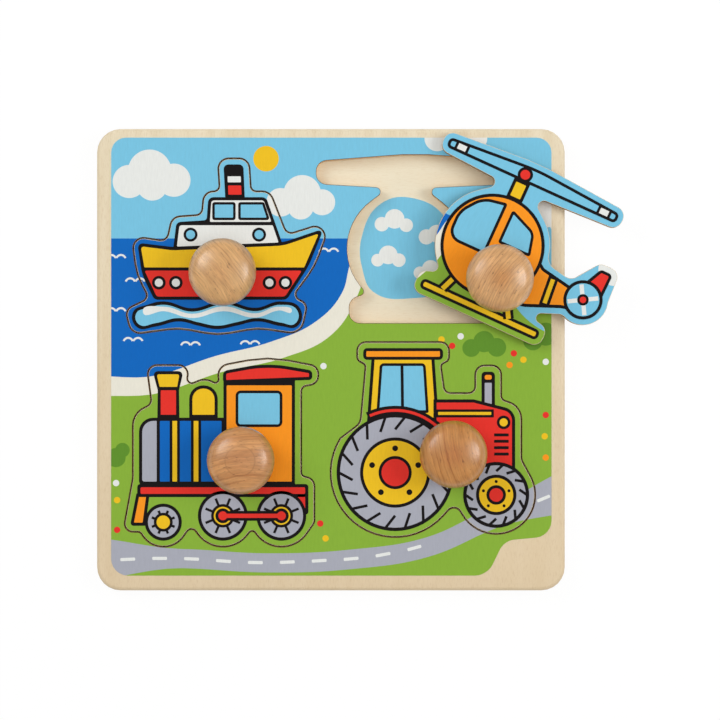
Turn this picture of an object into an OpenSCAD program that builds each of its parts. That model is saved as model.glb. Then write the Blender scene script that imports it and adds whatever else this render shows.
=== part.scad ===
// Wooden peg puzzle: a two-layer tray with four vehicle pieces, each lifted by a turned knob.
// Millimetres, +Z up. The origin is on the underside, at the middle of the tray.
// Three pieces sit in their recesses. The helicopter lies loose on the tray, over its right edge.

/* [Tray] */
// Width of the tray, left to right
tray_w = 220; // [180:1:300]
// Height of the tray, bottom to top of the picture
tray_h = 217; // [180:1:300]
// Thickness of the back board that closes the recesses
back_t = 3; // [2:0.5:6]
// Thickness of the sheet that the pieces are sawn from, and so of the pieces
sheet_t = 6; // [4:0.5:12]
// Radius of the tray's corners
corner_r = 11; // [4:0.5:20]
// Width of the sanded outer edge, top and bottom
edge_ease = 1; // [0.4:0.1:1.8]

/* [Pieces] */
// Gap left by the saw between a piece and its recess
play = 0.6; // [0.3:0.1:1.5]
// Width of the sanded edge of a piece
piece_ease = 0.2; // [0.1:0.1:1]
// Boat's knob: shares of the tray's width from the left and of its height from the bottom
boat_share = [0.271, 0.688]; // [0.2:0.001:0.8]
// Locomotive's knob: shares of the tray's width from the left and of its height from the bottom
train_share = [0.31, 0.284]; // [0.2:0.001:0.8]
// Tractor's knob: shares of the tray's width from the left and of its height from the bottom
tractor_share = [0.76, 0.297]; // [0.2:0.001:0.8]
// Helicopter's recess: shares of the tray's width from the left and of its height from the bottom
helicopter_share = [0.701, 0.681]; // [0.2:0.001:0.8]
// How far to the right of its recess the helicopter lies
loose_right = 34.3; // [20:0.1:50]
// How far below its recess the helicopter lies
loose_down = 1.5; // [-5:0.1:10]
// How far the helicopter is turned clockwise from its recess
loose_turn = 24.5; // [0:0.5:60]

/* [Knobs] */
// Widest diameter of a knob
knob_d = 31.5; // [28:0.5:36]
// Height of a knob above its piece
knob_h = 24; // [20:0.5:32]
// Radius of the crown of a knob
crown_r = 30; // [24:0.5:60]
// Radius of the rounded shoulder between crown and underside
shoulder_r = 7.5; // [5:0.5:8.5]
// Diameter of the foot that stands on the piece
foot_d = 20; // [16:0.5:24]
// Diameter of the waist above the foot
waist_d = 17; // [13:0.5:19]
// Height of the waist above the piece
waist_h = 3.5; // [2.5:0.5:5]

/* [Screws] */
// Diameter of the screw's shank
screw_d = 4; // [3:0.1:5]
// Diameter of the countersunk head
head_d = 8; // [7:0.1:10]
// Height of the countersunk head
head_h = 2.6; // [2:0.1:3.5]
// Length of the screw inside the knob
bite = 13; // [8:0.5:16]
// Length of the screw's point
point_l = 4; // [2:0.5:6]
// Clearance around the screw in its holes
screw_gap = 0.1; // [0.05:0.01:0.3]
// Width of the arms of the cross recess
cross_w = 1.1; // [0.8:0.1:1.5]
// Span of the cross recess
cross_span = 4.6; // [3:0.1:5.5]
// Depth of the cross recess
cross_depth = 1.4; // [0.8:0.1:1.8]

/* [Hidden] */
fillet_step = 15;   // degrees of turn per facet on a rounded corner
curve_step = 7.5;   // degrees of turn per facet on a large arc
profile_step = 6;   // degrees of turn per facet on the knob's profile
step_slack = 0.01;  // keeps a whole number of facets from being rounded up
cut_past = 1;       // how far a cutter runs past the face that it opens
over = 0.4;         // how far an edge's cutter runs past the edge

tray_top = back_t + sheet_t;

// The outlines are drawn for a tray of this width and height, and grow or shrink with the tray
drawn_tray = [220, 217];
picture = min(tray_w / drawn_tray.x, tray_h / drawn_tray.y);

function on_tray(share) = [tray_w * (share.x - 0.5), tray_h * (share.y - 0.5)];
boat_at = on_tray(boat_share);
train_at = on_tray(train_share);
tractor_at = on_tray(tractor_share);
helicopter_home = on_tray(helicopter_share);
helicopter_at = helicopter_home + [loose_right, -loose_down];

// Outlines are lists of corners [x, y, r], counter-clockwise, each rounded to the radius r.
// A large arc is given by its own points, as corners of radius 0. A circle is [x, y, r].

function unit(v) = v / norm(v);
function xy(corner) = [corner.x, corner.y];
function turn_within(a) = a > 180 ? a - 360 : a < -180 ? a + 360 : a;

// Points of an arc of a circle between two angles, as corners
function arc(circle, turn, step = curve_step) =
    let (sweep = turn[1] - turn[0], n = ceil(abs(sweep) / step))
    [for (i = [0 : n])
        let (a = turn[0] + sweep * i / n)
        [circle.x + circle[2] * cos(a), circle.y + circle[2] * sin(a), 0]];

// The corner q between its neighbours p and s, moved outwards by grow
function moved_corner(p, q, s, grow) =
    let (
        along_in = unit(xy(q) - xy(p)),
        along_out = unit(xy(s) - xy(q)),
        out_in = [along_in.y, -along_in.x],
        out_out = [along_out.y, -along_out.x],
        at = xy(q) + (out_in + out_out) * grow / (1 + out_in * out_out),
        convex = cross(along_in, along_out) > 0
    )
    [at.x, at.y, q[2] == 0 ? 0 : q[2] + (convex ? grow : -grow)];

// Points of the rounded corner q between its neighbours p and s
function corner_points(p, q, s) =
    q[2] == 0 ? [xy(q)] :
    let (
        to_p = unit(xy(p) - xy(q)),
        to_s = unit(xy(s) - xy(q)),
        half = acos(to_p * to_s) / 2,
        centre = xy(q) + unit(to_p + to_s) * q[2] / sin(half),
        start = xy(q) + to_p * q[2] / tan(half) - centre,
        end = xy(q) + to_s * q[2] / tan(half) - centre,
        a0 = atan2(start.y, start.x),
        sweep = turn_within(atan2(end.y, end.x) - a0),
        n = max(1, ceil(abs(sweep) / fillet_step - step_slack))
    )
    [for (i = [0 : n])
        centre + q[2] * [cos(a0 + sweep * i / n), sin(a0 + sweep * i / n)]];

// Points of a whole outline, moved outwards by grow
function outline(corners, grow = 0) =
    let (
        n = len(corners),
        moved = [for (i = [0 : n - 1])
            moved_corner(corners[(i + n - 1) % n], corners[i], corners[(i + 1) % n], grow)]
    )
    [for (i = [0 : n - 1])
        each corner_points(moved[(i + n - 1) % n], moved[i], moved[(i + 1) % n])];

function rectangle(w, h, r) =
    [[-w / 2, -h / 2, r], [w / 2, -h / 2, r], [w / 2, h / 2, r], [-w / 2, h / 2, r]];

// The corner where the tangents of two circles meet, at angle a1 on one and a2 on the other
function tangents_meet(c1, a1, c2, a2, fillet) =
    let (
        p1 = xy(c1) + c1[2] * [cos(a1), sin(a1)],
        p2 = xy(c2) + c2[2] * [cos(a2), sin(a2)],
        d1 = [-sin(a1), cos(a1)],
        d2 = [-sin(a2), cos(a2)],
        at = p1 + d1 * cross(p2 - p1, d2) / cross(d1, d2)
    )
    [at.x, at.y, fillet];

// A ring that takes the sanded width ease off the upper edge of a prism of height h
module edge_cutter(corners, h, ease) {
    levels = [[over, h - ease - over], [-ease - over, h + over], [over, h + over]];
    rings = [for (level = levels) outline(corners, level[0])];
    n = len(rings[0]);
    points = [for (k = [0 : 2]) for (p = rings[k]) [p.x, p.y, levels[k][1]]];
    faces = [for (k = [0 : 2]) for (i = [0 : n - 1])
        let (j = (i + 1) % n, m = (k + 1) % 3)
        [k * n + i, k * n + j, m * n + j, m * n + i]];
    polyhedron(points, faces);
}

// A prism whose lower and upper edges are sanded back, each by its own width
module eased_prism(corners, h, ease_below, ease_above) {
    difference() {
        linear_extrude(h)
            polygon(outline(corners));
        if (ease_above > 0)
            edge_cutter(corners, h, ease_above);
        if (ease_below > 0)
            translate([0, 0, h])
                mirror([0, 0, 1])
                    edge_cutter(corners, h, ease_below);
    }
}

// Outlines of the pieces, around the axis of the knob

// Steam boat: wave foot, full bow on the right, two-step cabin and a funnel
boat_corners = picture * [
    [-43, -28.5, 5], [-21, -25.5, 30], [-3, -29, 30], [16, -25.5, 30], [36, -28.5, 6],
    [39, -14.5, 3.6], [31.5, -11.5, 3.4], [42.5, 3, 40], [50, 24, 4.5], [29.5, 17.5, 4],
    [21.5, 38, 5], [12.5, 38, 3], [11.5, 53.5, 4.5], [-2.5, 53.5, 4.5], [-1.5, 38, 3],
    [-9, 38, 4.5], [-10, 27, 3.5], [-24, 26, 4.5], [-26.5, 14.5, 4], [-43, 17, 4.5],
    [-40.5, -1, 30], [-34.5, -12, 3.5], [-46, -17.5, 4]
];

// Locomotive: pilot on the left, one leading and two driving wheels, chimney, dome and cab
lead_wheel = [-37, -29.5, 11.2];
drivers = [[-9, -26.5, 14.2], [18.5, -26.5, 14.2]];
wheel_turn = [215, 325];
train_corners = picture * concat(
    [[-55.5, -33.7, 3.5], [-47.7, -33.7, 2.5]],
    arc(lead_wheel, wheel_turn),
    [tangents_meet(lead_wheel, wheel_turn[1], drivers[0], wheel_turn[0], 3)],
    arc(drivers[0], wheel_turn),
    [tangents_meet(drivers[0], wheel_turn[1], drivers[1], wheel_turn[0], 2.3)],
    arc(drivers[1], wheel_turn),
    [
        [33.7, -29.5, 4], [33.7, -9.5, 4], [27.5, -8, 2.5], [27.5, 34.5, 3], [35.5, 36, 4],
        [35.5, 43.5, 4], [12, 48, 50], [-11.5, 43.5, 5], [-10, 34, 2], [-17.5, 38, 7.5],
        [-27, 33.5, 2.6], [-25, 44, 4], [-44.5, 44, 4], [-42, 25.5, 4], [-51, 22, 9], [-51, -9, 8]
    ]
);

// Tractor: tall rear wheel, small front wheel, roofed cab and an exhaust pipe
rear_wheel = [-27, -9, 30];
rear_turn = [148, 318];
front_wheel = [20.5, -19.5, 18];
front_turn = [212, 385];
tractor_corners = picture * concat(
    arc(rear_wheel, rear_turn),
    [tangents_meet(rear_wheel, rear_turn[1], front_wheel, front_turn[0], 4)],
    arc(front_wheel, front_turn),
    [
        [32, -3, 5], [32, 22, 8], [22.5, 25, 3], [22.5, 41, 4], [11, 41, 4], [11, 28, 3.5],
        [-4, 28, 3.5], [-6, 42, 2.5], [-2, 44, 2.5], [-2, 52, 3.8], [-44.5, 52, 3.8],
        [-44.5, 44, 2.5], [-40.5, 42, 2.5], [-43, 14, 6]
    ]
);

// Helicopter: rotor blade, round cabin, boom with tail rotor and fin, and a skid
cabin = [-9, 13, 27];
cabin_back_turn = [22, 52];
cabin_nose_turn = [126, 218];
tail_rotor = [40, 7.5, 11.8];
tail_turn = [245, 378];
helicopter_corners = picture * concat(
    [[-35, -21.5, 4.5], [30.5, -21.5, 4.5], [30.5, -11.5, 4.5], [17, -9.5, 2.3],
        [33.5, -2.9, 3.4]],
    arc(tail_rotor, tail_turn),
    [[50.5, 26.5, 4.5], [40.5, 26.5, 4.5], [31, 13.5, 5], [17.8, 16, 6]],
    arc(cabin, cabin_back_turn),
    [[-2.3, 42, 2.8], [41.5, 44, 4.5], [41.5, 53.5, 4.5], [-4.5, 57, 80],
        [-50.5, 53.5, 4.5], [-50.5, 44, 4.5], [-15.2, 42, 2.8]],
    arc(cabin, cabin_nose_turn),
    [[-26.5, -8.3, 2.5], [-35, -11.5, 4.5]]
);

// The tray

module back_board() {
    color("burlywood")
        eased_prism(rectangle(tray_w, tray_h, corner_r), back_t, edge_ease, 0);
}

module recess(corners, at) {
    translate([at.x, at.y, back_t - cut_past])
        linear_extrude(sheet_t + 2 * cut_past)
            polygon(outline(corners, play));
}

module frame_board() {
    color("yellowgreen")
        difference() {
            translate([0, 0, back_t])
                eased_prism(rectangle(tray_w, tray_h, corner_r), sheet_t, 0, edge_ease);
            recess(boat_corners, boat_at);
            recess(train_corners, train_at);
            recess(tractor_corners, tractor_at);
            recess(helicopter_corners, helicopter_home);
        }
}

// A piece with the hole and countersink for its screw, underside on z = 0

module screw_hole() {
    translate([0, 0, -cut_past])
        cylinder(d = screw_d + 2 * screw_gap, h = sheet_t + 2 * cut_past, $fn = 48);
    rotate_extrude($fn = 48)
        polygon([
            [0, -cut_past], [head_d / 2 + screw_gap, -cut_past], [head_d / 2 + screw_gap, 0],
            [screw_d / 2 + screw_gap, head_h], [0, head_h]
        ]);
}

module puzzle_piece(corners) {
    difference() {
        eased_prism(corners, sheet_t, piece_ease, piece_ease);
        screw_hole();
    }
}

// A knob turned from solid wood, foot on z = 0, with a blind pilot hole for the screw

knob_r = knob_d / 2;
crown_z = knob_h - crown_r;
shoulder_x = knob_r - shoulder_r;
shoulder_z = crown_z + sqrt(pow(crown_r - shoulder_r, 2) - pow(shoulder_x, 2));
crown_ends = atan2(shoulder_z - crown_z, shoulder_x);
underside_angle = -50;
foot_round = 0.8;

knob_profile = concat(
    [[0, 0], [foot_d / 2 - foot_round, 0]],
    [for (c = arc([foot_d / 2 - foot_round, foot_round, foot_round], [-90, 0], 30)) xy(c)],
    [[waist_d / 2, waist_h]],
    [for (c = arc([shoulder_x, shoulder_z, shoulder_r], [underside_angle, crown_ends], profile_step))
        xy(c)],
    [for (c = arc([0, crown_z, crown_r], [crown_ends, 90], profile_step / 2)) xy(c)]
);

module turned_knob() {
    color("tan")
        difference() {
            rotate_extrude($fn = 96)
                polygon(knob_profile);
            translate([0, 0, -cut_past])
                cylinder(d = screw_d + 2 * screw_gap, h = bite + cut_past + screw_gap, $fn = 48);
        }
}

// A countersunk wood screw, head flush with the underside of the piece on z = 0

module wood_screw() {
    shank_top = sheet_t + bite;
    color("silver")
        difference() {
            rotate_extrude($fn = 48)
                polygon([
                    [0, 0], [head_d / 2, 0], [screw_d / 2, head_h],
                    [screw_d / 2, shank_top - point_l], [0, shank_top]
                ]);
            for (a = [0, 90])
                rotate([0, 0, a])
                    translate([-cross_span / 2, -cross_w / 2, -cut_past])
                        cube([cross_span, cross_w, cross_depth + cut_past]);
        }
}

// Where each set of piece, knob and screw stands

module in_recess(at) {
    translate([at.x, at.y, back_t])
        children();
}

module loose_on_tray() {
    translate([helicopter_at.x, helicopter_at.y, tray_top])
        rotate([0, 0, -loose_turn])
            children();
}

module on_piece() {
    translate([0, 0, sheet_t])
        children();
}

module boat_piece() { color("crimson") in_recess(boat_at) puzzle_piece(boat_corners); }
module boat_knob() { in_recess(boat_at) on_piece() turned_knob(); }
module boat_screw() { in_recess(boat_at) wood_screw(); }

module helicopter_piece() { color("darkorange") loose_on_tray() puzzle_piece(helicopter_corners); }
module helicopter_knob() { loose_on_tray() on_piece() turned_knob(); }
module helicopter_screw() { loose_on_tray() wood_screw(); }

module train_piece() { color("royalblue") in_recess(train_at) puzzle_piece(train_corners); }
module train_knob() { in_recess(train_at) on_piece() turned_knob(); }
module train_screw() { in_recess(train_at) wood_screw(); }

module tractor_piece() { color("gold") in_recess(tractor_at) puzzle_piece(tractor_corners); }
module tractor_knob() { in_recess(tractor_at) on_piece() turned_knob(); }
module tractor_screw() { in_recess(tractor_at) wood_screw(); }

back_board();
frame_board();
boat_piece();
boat_knob();
boat_screw();
helicopter_piece();
helicopter_knob();
helicopter_screw();
train_piece();
train_knob();
train_screw();
tractor_piece();
tractor_knob();
tractor_screw();
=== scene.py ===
"""Wooden peg puzzle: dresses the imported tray, pieces, knobs and screws, and lights them as in a studio."""

import logging
import math
from dataclasses import dataclass, field
from enum import Enum
from typing import Any, Iterable, Protocol

import bmesh
import bpy
from mathutils import Matrix, Vector

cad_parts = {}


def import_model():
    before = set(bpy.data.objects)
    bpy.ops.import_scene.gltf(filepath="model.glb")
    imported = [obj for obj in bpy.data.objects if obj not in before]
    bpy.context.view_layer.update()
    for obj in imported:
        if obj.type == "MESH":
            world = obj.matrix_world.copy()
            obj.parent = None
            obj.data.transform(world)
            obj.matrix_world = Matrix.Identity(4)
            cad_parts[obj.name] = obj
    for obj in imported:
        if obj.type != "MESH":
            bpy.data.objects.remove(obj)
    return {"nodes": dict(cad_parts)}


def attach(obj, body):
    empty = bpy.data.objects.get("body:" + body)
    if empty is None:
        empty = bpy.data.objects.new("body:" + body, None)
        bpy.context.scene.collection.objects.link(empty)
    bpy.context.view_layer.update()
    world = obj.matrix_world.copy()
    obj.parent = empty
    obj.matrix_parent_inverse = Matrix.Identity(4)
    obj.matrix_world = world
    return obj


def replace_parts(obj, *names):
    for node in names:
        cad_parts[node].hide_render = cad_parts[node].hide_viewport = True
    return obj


LOG = logging.getLogger("peg_puzzle")
MM = 0.001
WELD = 0.001 * MM
CAD_WELD = 2 * WELD
PLY_MM = 1.2
Point = tuple[float, float]
Corner = tuple[float, float, float]
Nodes = dict[str, bpy.types.Object]
Key = str | int
Source = bpy.types.Node | bpy.types.NodeSocket


def linear(hex_colour: str) -> tuple[float, float, float, float]:
    """Turns an sRGB hex colour into linear light.

    Args:
        hex_colour: The colour as "#RRGGBB".

    Returns:
        Red, green, blue and alpha for a colour socket.
    """
    parts = [int(hex_colour[i : i + 2], 16) / 255 for i in (1, 3, 5)]
    red, green, blue = (c / 12.92 if c <= 0.04045 else ((c + 0.055) / 1.055) ** 2.4 for c in parts)
    return red, green, blue, 1.0


def wire(
    tree: bpy.types.NodeTree, node: bpy.types.Node, settings: dict[Key, Any], links: dict[Key, Source]
) -> bpy.types.Node:
    """Sets a node's values and links its inputs.

    Args:
        tree: The material's node tree.
        node: The node.
        settings: Values by attribute name, or by input name or index.
        links: Sources by input name or index; a node stands for its first output in use.

    Returns:
        The node.
    """
    for key, value in settings.items():
        if isinstance(key, int) or key in node.inputs:
            node.inputs[key].default_value = value
        else:
            setattr(node, key, value)
    for key, source in links.items():
        if isinstance(source, bpy.types.Node):
            source = next(output for output in source.outputs if output.enabled)
        tree.links.new(source, node.inputs[key])
    return node


def add_node(
    tree: bpy.types.NodeTree,
    kind: str,
    settings: dict[Key, Any] | None = None,
    links: dict[Key, Source] | None = None,
) -> bpy.types.Node:
    """Adds a node with its settings and links.

    Args:
        tree: The material's node tree.
        kind: The node's type, without the ShaderNode prefix.
        settings: Values by attribute name, or by input name or index.
        links: Sources by input name or index.

    Returns:
        The new node.
    """
    return wire(tree, tree.nodes.new("ShaderNode" + kind), settings or {}, links or {})


def new_material(name: str) -> tuple[bpy.types.Material, bpy.types.NodeTree, bpy.types.Node]:
    """Starts a material.

    Args:
        name: The material's name.

    Returns:
        The material, its node tree and its Principled shader.
    """
    material = bpy.data.materials.new(name)
    material.use_nodes = True
    tree = material.node_tree
    return material, tree, tree.nodes["Principled BSDF"]


def along_grain(tree: bpy.types.NodeTree, turn: float, stretch: float) -> bpy.types.Node:
    """Gives coordinates that are drawn out along the grain of a sheet.

    Args:
        tree: The material's node tree.
        turn: How far the grain is turned from the tray's height, in degrees.
        stretch: How many times longer than wide the grain's marks are.

    Returns:
        The node that gives them, in metres.
    """
    where = add_node(tree, "TexCoord").outputs["Object"]
    turned = add_node(tree, "Mapping", {"Rotation": (0, 0, -math.radians(turn))}, {"Vector": where})
    return add_node(tree, "Mapping", {"Scale": (1, 1 / stretch, 1)}, {"Vector": turned})


def speckles(size_mm: float, detail: float = 3.0) -> dict[Key, Any]:
    """Gives a noise's settings for marks of a real size, in millimetres."""
    return {"Scale": 1 / (size_mm * MM), "Detail": detail, "Roughness": 0.6}


def stain(
    tree: bpy.types.NodeTree, under: str | Source, over: str, pattern: Source, reach: Point, strength: float
) -> bpy.types.Node:
    """Lays a colour over another where a pattern is strong.

    Args:
        tree: The material's node tree.
        under: The lower colour, as a hex colour or a source.
        over: The upper colour, as a hex colour.
        pattern: The pattern.
        reach: The pattern's values where the upper colour starts and where it is full.
        strength: How much of the upper colour shows there.

    Returns:
        The node that gives the stained colour.
    """
    amount = add_node(tree, "MapRange", {1: reach[0], 2: reach[1], 4: strength}, {0: pattern})
    mix: dict[Key, Any] = {"data_type": "RGBA", 7: linear(over)}
    if isinstance(under, str):
        return add_node(tree, "Mix", mix | {6: linear(under)}, {0: amount})
    return add_node(tree, "Mix", mix, {0: amount, 6: under})


class Ink(Enum):
    """The printing inks, by name and sRGB colour."""

    SKY = "#79C3E0"
    WHITE = "#E6E8E4"
    SEA = "#0A66BC"
    GREEN = "#88B03A"
    LEAF = "#5F8F2C"
    SAND = "#E9E5D6"
    GREY = "#A9ABB6"
    ORANGE = "#F9961F"
    YELLOW = "#EEC021"
    RED = "#E5332A"
    BLACK = "#151112"


@dataclass(frozen=True)
class BirchFace:
    """Birch plywood face, rotary cut and sanded."""

    name: str = "birch_plywood_sanded_face"
    pale: str = "#EADCBF"
    band: str = "#DECCA9"
    painted_falloff_shade: str = "#DDC49E"
    fibre: str = "#C3A273"
    turn: float = 0.0
    band_mm: float = 5.0
    fibre_mm: float = 0.5
    falloff_from_mm: float = 95.0
    falloff_to_mm: float = -125.0

    def material(self) -> bpy.types.Material:
        """Makes the bare wood of the rim, the recess floors and the undersides.

        Returns:
            The material.
        """
        material, tree, shader = new_material(self.name)
        # Sanding closes the pores: the eye sees matt cream, drawn darker and warmer towards the bottom of
        # the tray, with faint bands and flecks.
        grain = along_grain(tree, self.turn, 12)
        bands = add_node(tree, "TexNoise", speckles(self.band_mm), {"Vector": grain})
        veneer = stain(tree, self.pale, self.band, bands, (0.35, 0.7), 0.8)
        # Painted shade: the face is drawn darker and warmer from the top of the tray to its bottom, where
        # the light falls off.
        where = add_node(tree, "TexCoord").outputs["Object"]
        along = add_node(tree, "SeparateXYZ", {}, {0: where}).outputs["Y"]
        toned = stain(tree, veneer, self.painted_falloff_shade, along, (self.falloff_from_mm * MM, self.falloff_to_mm * MM), 0.8)
        # Real fibres are about 0.1 mm wide; they are drawn wider so that they show.
        short = along_grain(tree, self.turn, 6)
        fibres = add_node(tree, "TexNoise", speckles(self.fibre_mm), {"Vector": short})
        colour = stain(tree, toned, self.fibre, fibres, (0.5, 0.78), 0.4)
        relief = add_node(tree, "Bump", {"Strength": 0.2, "Distance": 0.04 * MM}, {"Height": fibres})
        wire(tree, shader, {"Roughness": 0.55}, {"Base Color": colour, "Normal": relief})
        return material


@dataclass(frozen=True)
class PlywoodEdge:
    """Birch plywood edge, sawn; base_mm is the height of the board's underside."""

    name: str
    base_mm: float
    ply_mm: float
    long_grain: str = "#B48E5E"
    end_grain: str = "#7C5530"
    fleck: str = "#704A28"
    grit_mm: float = 0.8

    def material(self) -> bpy.types.Material:
        """Makes the sawn edge of a board or piece.

        Returns:
            The material.
        """
        material, tree, shader = new_material(self.name)
        # Plies lie crosswise: the eye sees pale and brown stripes, one above the other, rough from the saw.
        where = add_node(tree, "TexCoord").outputs["Object"]
        height = add_node(tree, "SeparateXYZ", {}, {0: where}).outputs["Z"]
        grit = add_node(tree, "TexNoise", speckles(self.grit_mm), {"Vector": where})
        pair = 2 * self.ply_mm * MM
        count = {"operation": "MULTIPLY_ADD", 1: 1 / pair, 2: -self.base_mm * MM / pair}
        rise = add_node(tree, "Math", count, {0: height})
        # The glue lines of real plywood wander by about a tenth of a ply.
        wander = add_node(tree, "Math", {"operation": "MULTIPLY_ADD", 1: 0.08}, {0: grit, 2: rise})
        within = add_node(tree, "Math", {"operation": "FRACT"}, {0: wander})
        plies = stain(tree, self.long_grain, self.end_grain, within, (0.5, 0.56), 1.0)
        colour = stain(tree, plies, self.fleck, grit, (0.56, 0.7), 0.5)
        relief = add_node(tree, "Bump", {"Strength": 0.2, "Distance": 0.08 * MM}, {"Height": grit})
        wire(tree, shader, {"Roughness": 0.7}, {"Base Color": colour, "Normal": relief})
        return material


@dataclass(frozen=True)
class ScreenPrint:
    """Screen-printed ink on sanded birch."""

    ink: Ink
    turn: float = 0.0
    streak_mm: float = 0.7

    def material(self) -> bpy.types.Material:
        """Makes one ink, once for each turn of the grain under it.

        Returns:
            The material.
        """
        name = f"screen_print_ink_{self.ink.name.lower()}" + ("_turned" if self.turn else "")
        if name in bpy.data.materials:
            return bpy.data.materials[name]
        material, tree, shader = new_material(name)
        # Ink fills the grain: the eye sees an even satin colour with a trace of the wood's streaks.
        grain = along_grain(tree, self.turn, 7)
        streaks = add_node(tree, "TexNoise", speckles(self.streak_mm), {"Vector": grain})
        shade = add_node(tree, "MapRange", {1: 0.3, 2: 0.7, 3: 0.965, 4: 1.03}, {0: streaks})
        satin = add_node(tree, "MapRange", {1: 0.3, 2: 0.7, 3: 0.38, 4: 0.52}, {0: streaks})
        colour = add_node(tree, "HueSaturation", {"Color": linear(self.ink.value)}, {"Value": shade})
        relief = add_node(tree, "Bump", {"Strength": 0.2, "Distance": 0.02 * MM}, {"Height": streaks})
        links = {"Base Color": colour, "Roughness": satin, "Normal": relief}
        wire(tree, shader, {"Specular IOR Level": 0.12}, links)
        return material


@dataclass(frozen=True)
class Billet:
    """The beech that one knob is turned from.

    It holds where the tree's pith lay from the knob's axis, how light, deep and yellow the wood is, how wide
    its years are, how much painted shade darkens its middle, and how strongly the chisel's ring shows.
    """

    pith: Point
    tone: float = 1.0
    depth: float = 1.0
    hue: float = 0.5
    year_mm: float = 1.4
    painted_middle_shade: float = 1.0
    chisel_mark: float = 0.0


@dataclass(frozen=True)
class TurnedBeech:
    """Beech, turned and lacquered."""

    name: str
    axis: Point
    billet: Billet
    early: str = "#D39A61"
    late: str = "#AE703C"
    ray: str = "#7A4A22"
    painted_shade_tint: str = "#F1DCB4"
    painted_shade_mm: Point = (8.2, 2.0)
    year_stretch: float = 16.0
    ray_mm: float = 0.7
    ray_stretch: float = 4.0
    fibre_mm: float = 0.6
    fibre_stretch: float = 9.0
    patch_mm: float = 9.0
    sway_mm: float = 1.2
    mark_mm: float = 6.9

    def from_pith(self, tree: bpy.types.NodeTree, where: Source, stretch: float) -> bpy.types.Node:
        """Gives coordinates out from the pith, along the year and up the trunk.

        Args:
            tree: The material's node tree.
            where: Coordinates in metres.
            stretch: How many times longer than wide the wood's marks are.

        Returns:
            The node that gives them, in metres.
        """
        pith = [-(a + p) * MM for a, p in zip(self.axis, self.billet.pith)]
        moved = add_node(tree, "Mapping", {"Location": (*pith, 0)}, {"Vector": where})
        parts = add_node(tree, "SeparateXYZ", {}, {0: moved}).outputs
        flat = add_node(tree, "CombineXYZ", {}, {"X": parts["X"], "Y": parts["Y"]})
        out = add_node(tree, "VectorMath", {"operation": "LENGTH"}, {0: flat})
        bends = add_node(tree, "TexNoise", speckles(self.patch_mm, 1.0), {"Vector": moved})
        sway = {"operation": "MULTIPLY_ADD", 1: self.sway_mm * MM}
        swayed = add_node(tree, "Math", sway, {0: bends, 2: out})
        around = add_node(tree, "Math", {"operation": "ARCTAN2"}, {0: parts["Y"], 1: parts["X"]})
        reach = math.hypot(*self.billet.pith) * MM
        year = add_node(tree, "Math", {"operation": "MULTIPLY", 1: reach / stretch}, {0: around})
        trunk = add_node(tree, "Math", {"operation": "MULTIPLY", 1: 1 / stretch}, {0: parts["Z"]})
        return add_node(tree, "CombineXYZ", {}, {"X": swayed, "Y": year, "Z": trunk})

    def year_lines(self, tree: bpy.types.NodeTree, where: Source) -> bpy.types.Node:
        """Gives the year lines, which lie around the pith and waver in width and strength.

        Args:
            tree: The material's node tree.
            where: Coordinates in metres.

        Returns:
            The node that gives them, 1 on the darkest lines.
        """
        year_mm = self.billet.year_mm
        place = self.from_pith(tree, where, self.year_stretch)
        noise = add_node(tree, "TexNoise", speckles(year_mm), {"Vector": place})
        cloud = add_node(tree, "MapRange", {1: 0.36, 2: 0.7, 4: 0.55}, {0: noise})
        waves = {"Scale": math.pi / 10 / (year_mm * MM), "Distortion": 4.5, "Detail Scale": 1.1}
        rings = add_node(tree, "TexWave", waves, {"Vector": place})
        lines = add_node(tree, "MapRange", {1: 0.72, 2: 1.0}, {0: rings})
        decade = add_node(tree, "TexNoise", speckles(4 * year_mm, 2.0), {"Vector": place})
        strong = add_node(tree, "MapRange", {1: 0.4, 2: 0.62, 3: 0.05, 4: 0.45}, {0: decade})
        return add_node(tree, "Math", {"operation": "MULTIPLY_ADD"}, {0: lines, 1: strong, 2: cloud})

    def figure(self, tree: bpy.types.NodeTree, where: Source, out: Source) -> bpy.types.Node:
        """Draws the year lines, the rays and the thin ring that the chisel leaves on the crown.

        Args:
            tree: The material's node tree.
            where: Coordinates in metres.
            out: The distance from the knob's axis, in metres.

        Returns:
            The node that gives the wood's colour.
        """
        wood = stain(tree, self.early, self.late, self.year_lines(tree, where), (0, 1), 1.0)
        # Beech rays are about 0.1 mm wide; their flecks are drawn wider so that they show.
        short = self.from_pith(tree, where, self.ray_stretch)
        rays = add_node(tree, "TexNoise", speckles(self.ray_mm, 2.0), {"Vector": short})
        rayed = stain(tree, wood, self.ray, rays, (0.62, 0.74), 0.7)
        past = add_node(tree, "Math", {"operation": "SUBTRACT", 1: self.mark_mm * MM}, {0: out})
        ring = add_node(tree, "Math", {"operation": "ABSOLUTE"}, {0: past})
        return stain(tree, rayed, self.ray, ring, (0.45 * MM, 0.1 * MM), self.billet.chisel_mark)

    def tones(self, tree: bpy.types.NodeTree, where: Source, from_axis: Source) -> bpy.types.Node:
        """Gives how light the wood is, by broad patches and fine fibres.

        Args:
            tree: The material's node tree.
            where: Coordinates in metres.
            from_axis: Coordinates from the knob's axis, in metres.

        Returns:
            The node that gives it, near the billet's tone.
        """
        patches = add_node(tree, "TexNoise", speckles(self.patch_mm, 1.0), {"Vector": from_axis})
        span = {1: 0.3, 2: 0.7, 3: 0.9 * self.billet.tone, 4: 1.06 * self.billet.tone}
        toned = add_node(tree, "MapRange", span, {0: patches})
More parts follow.
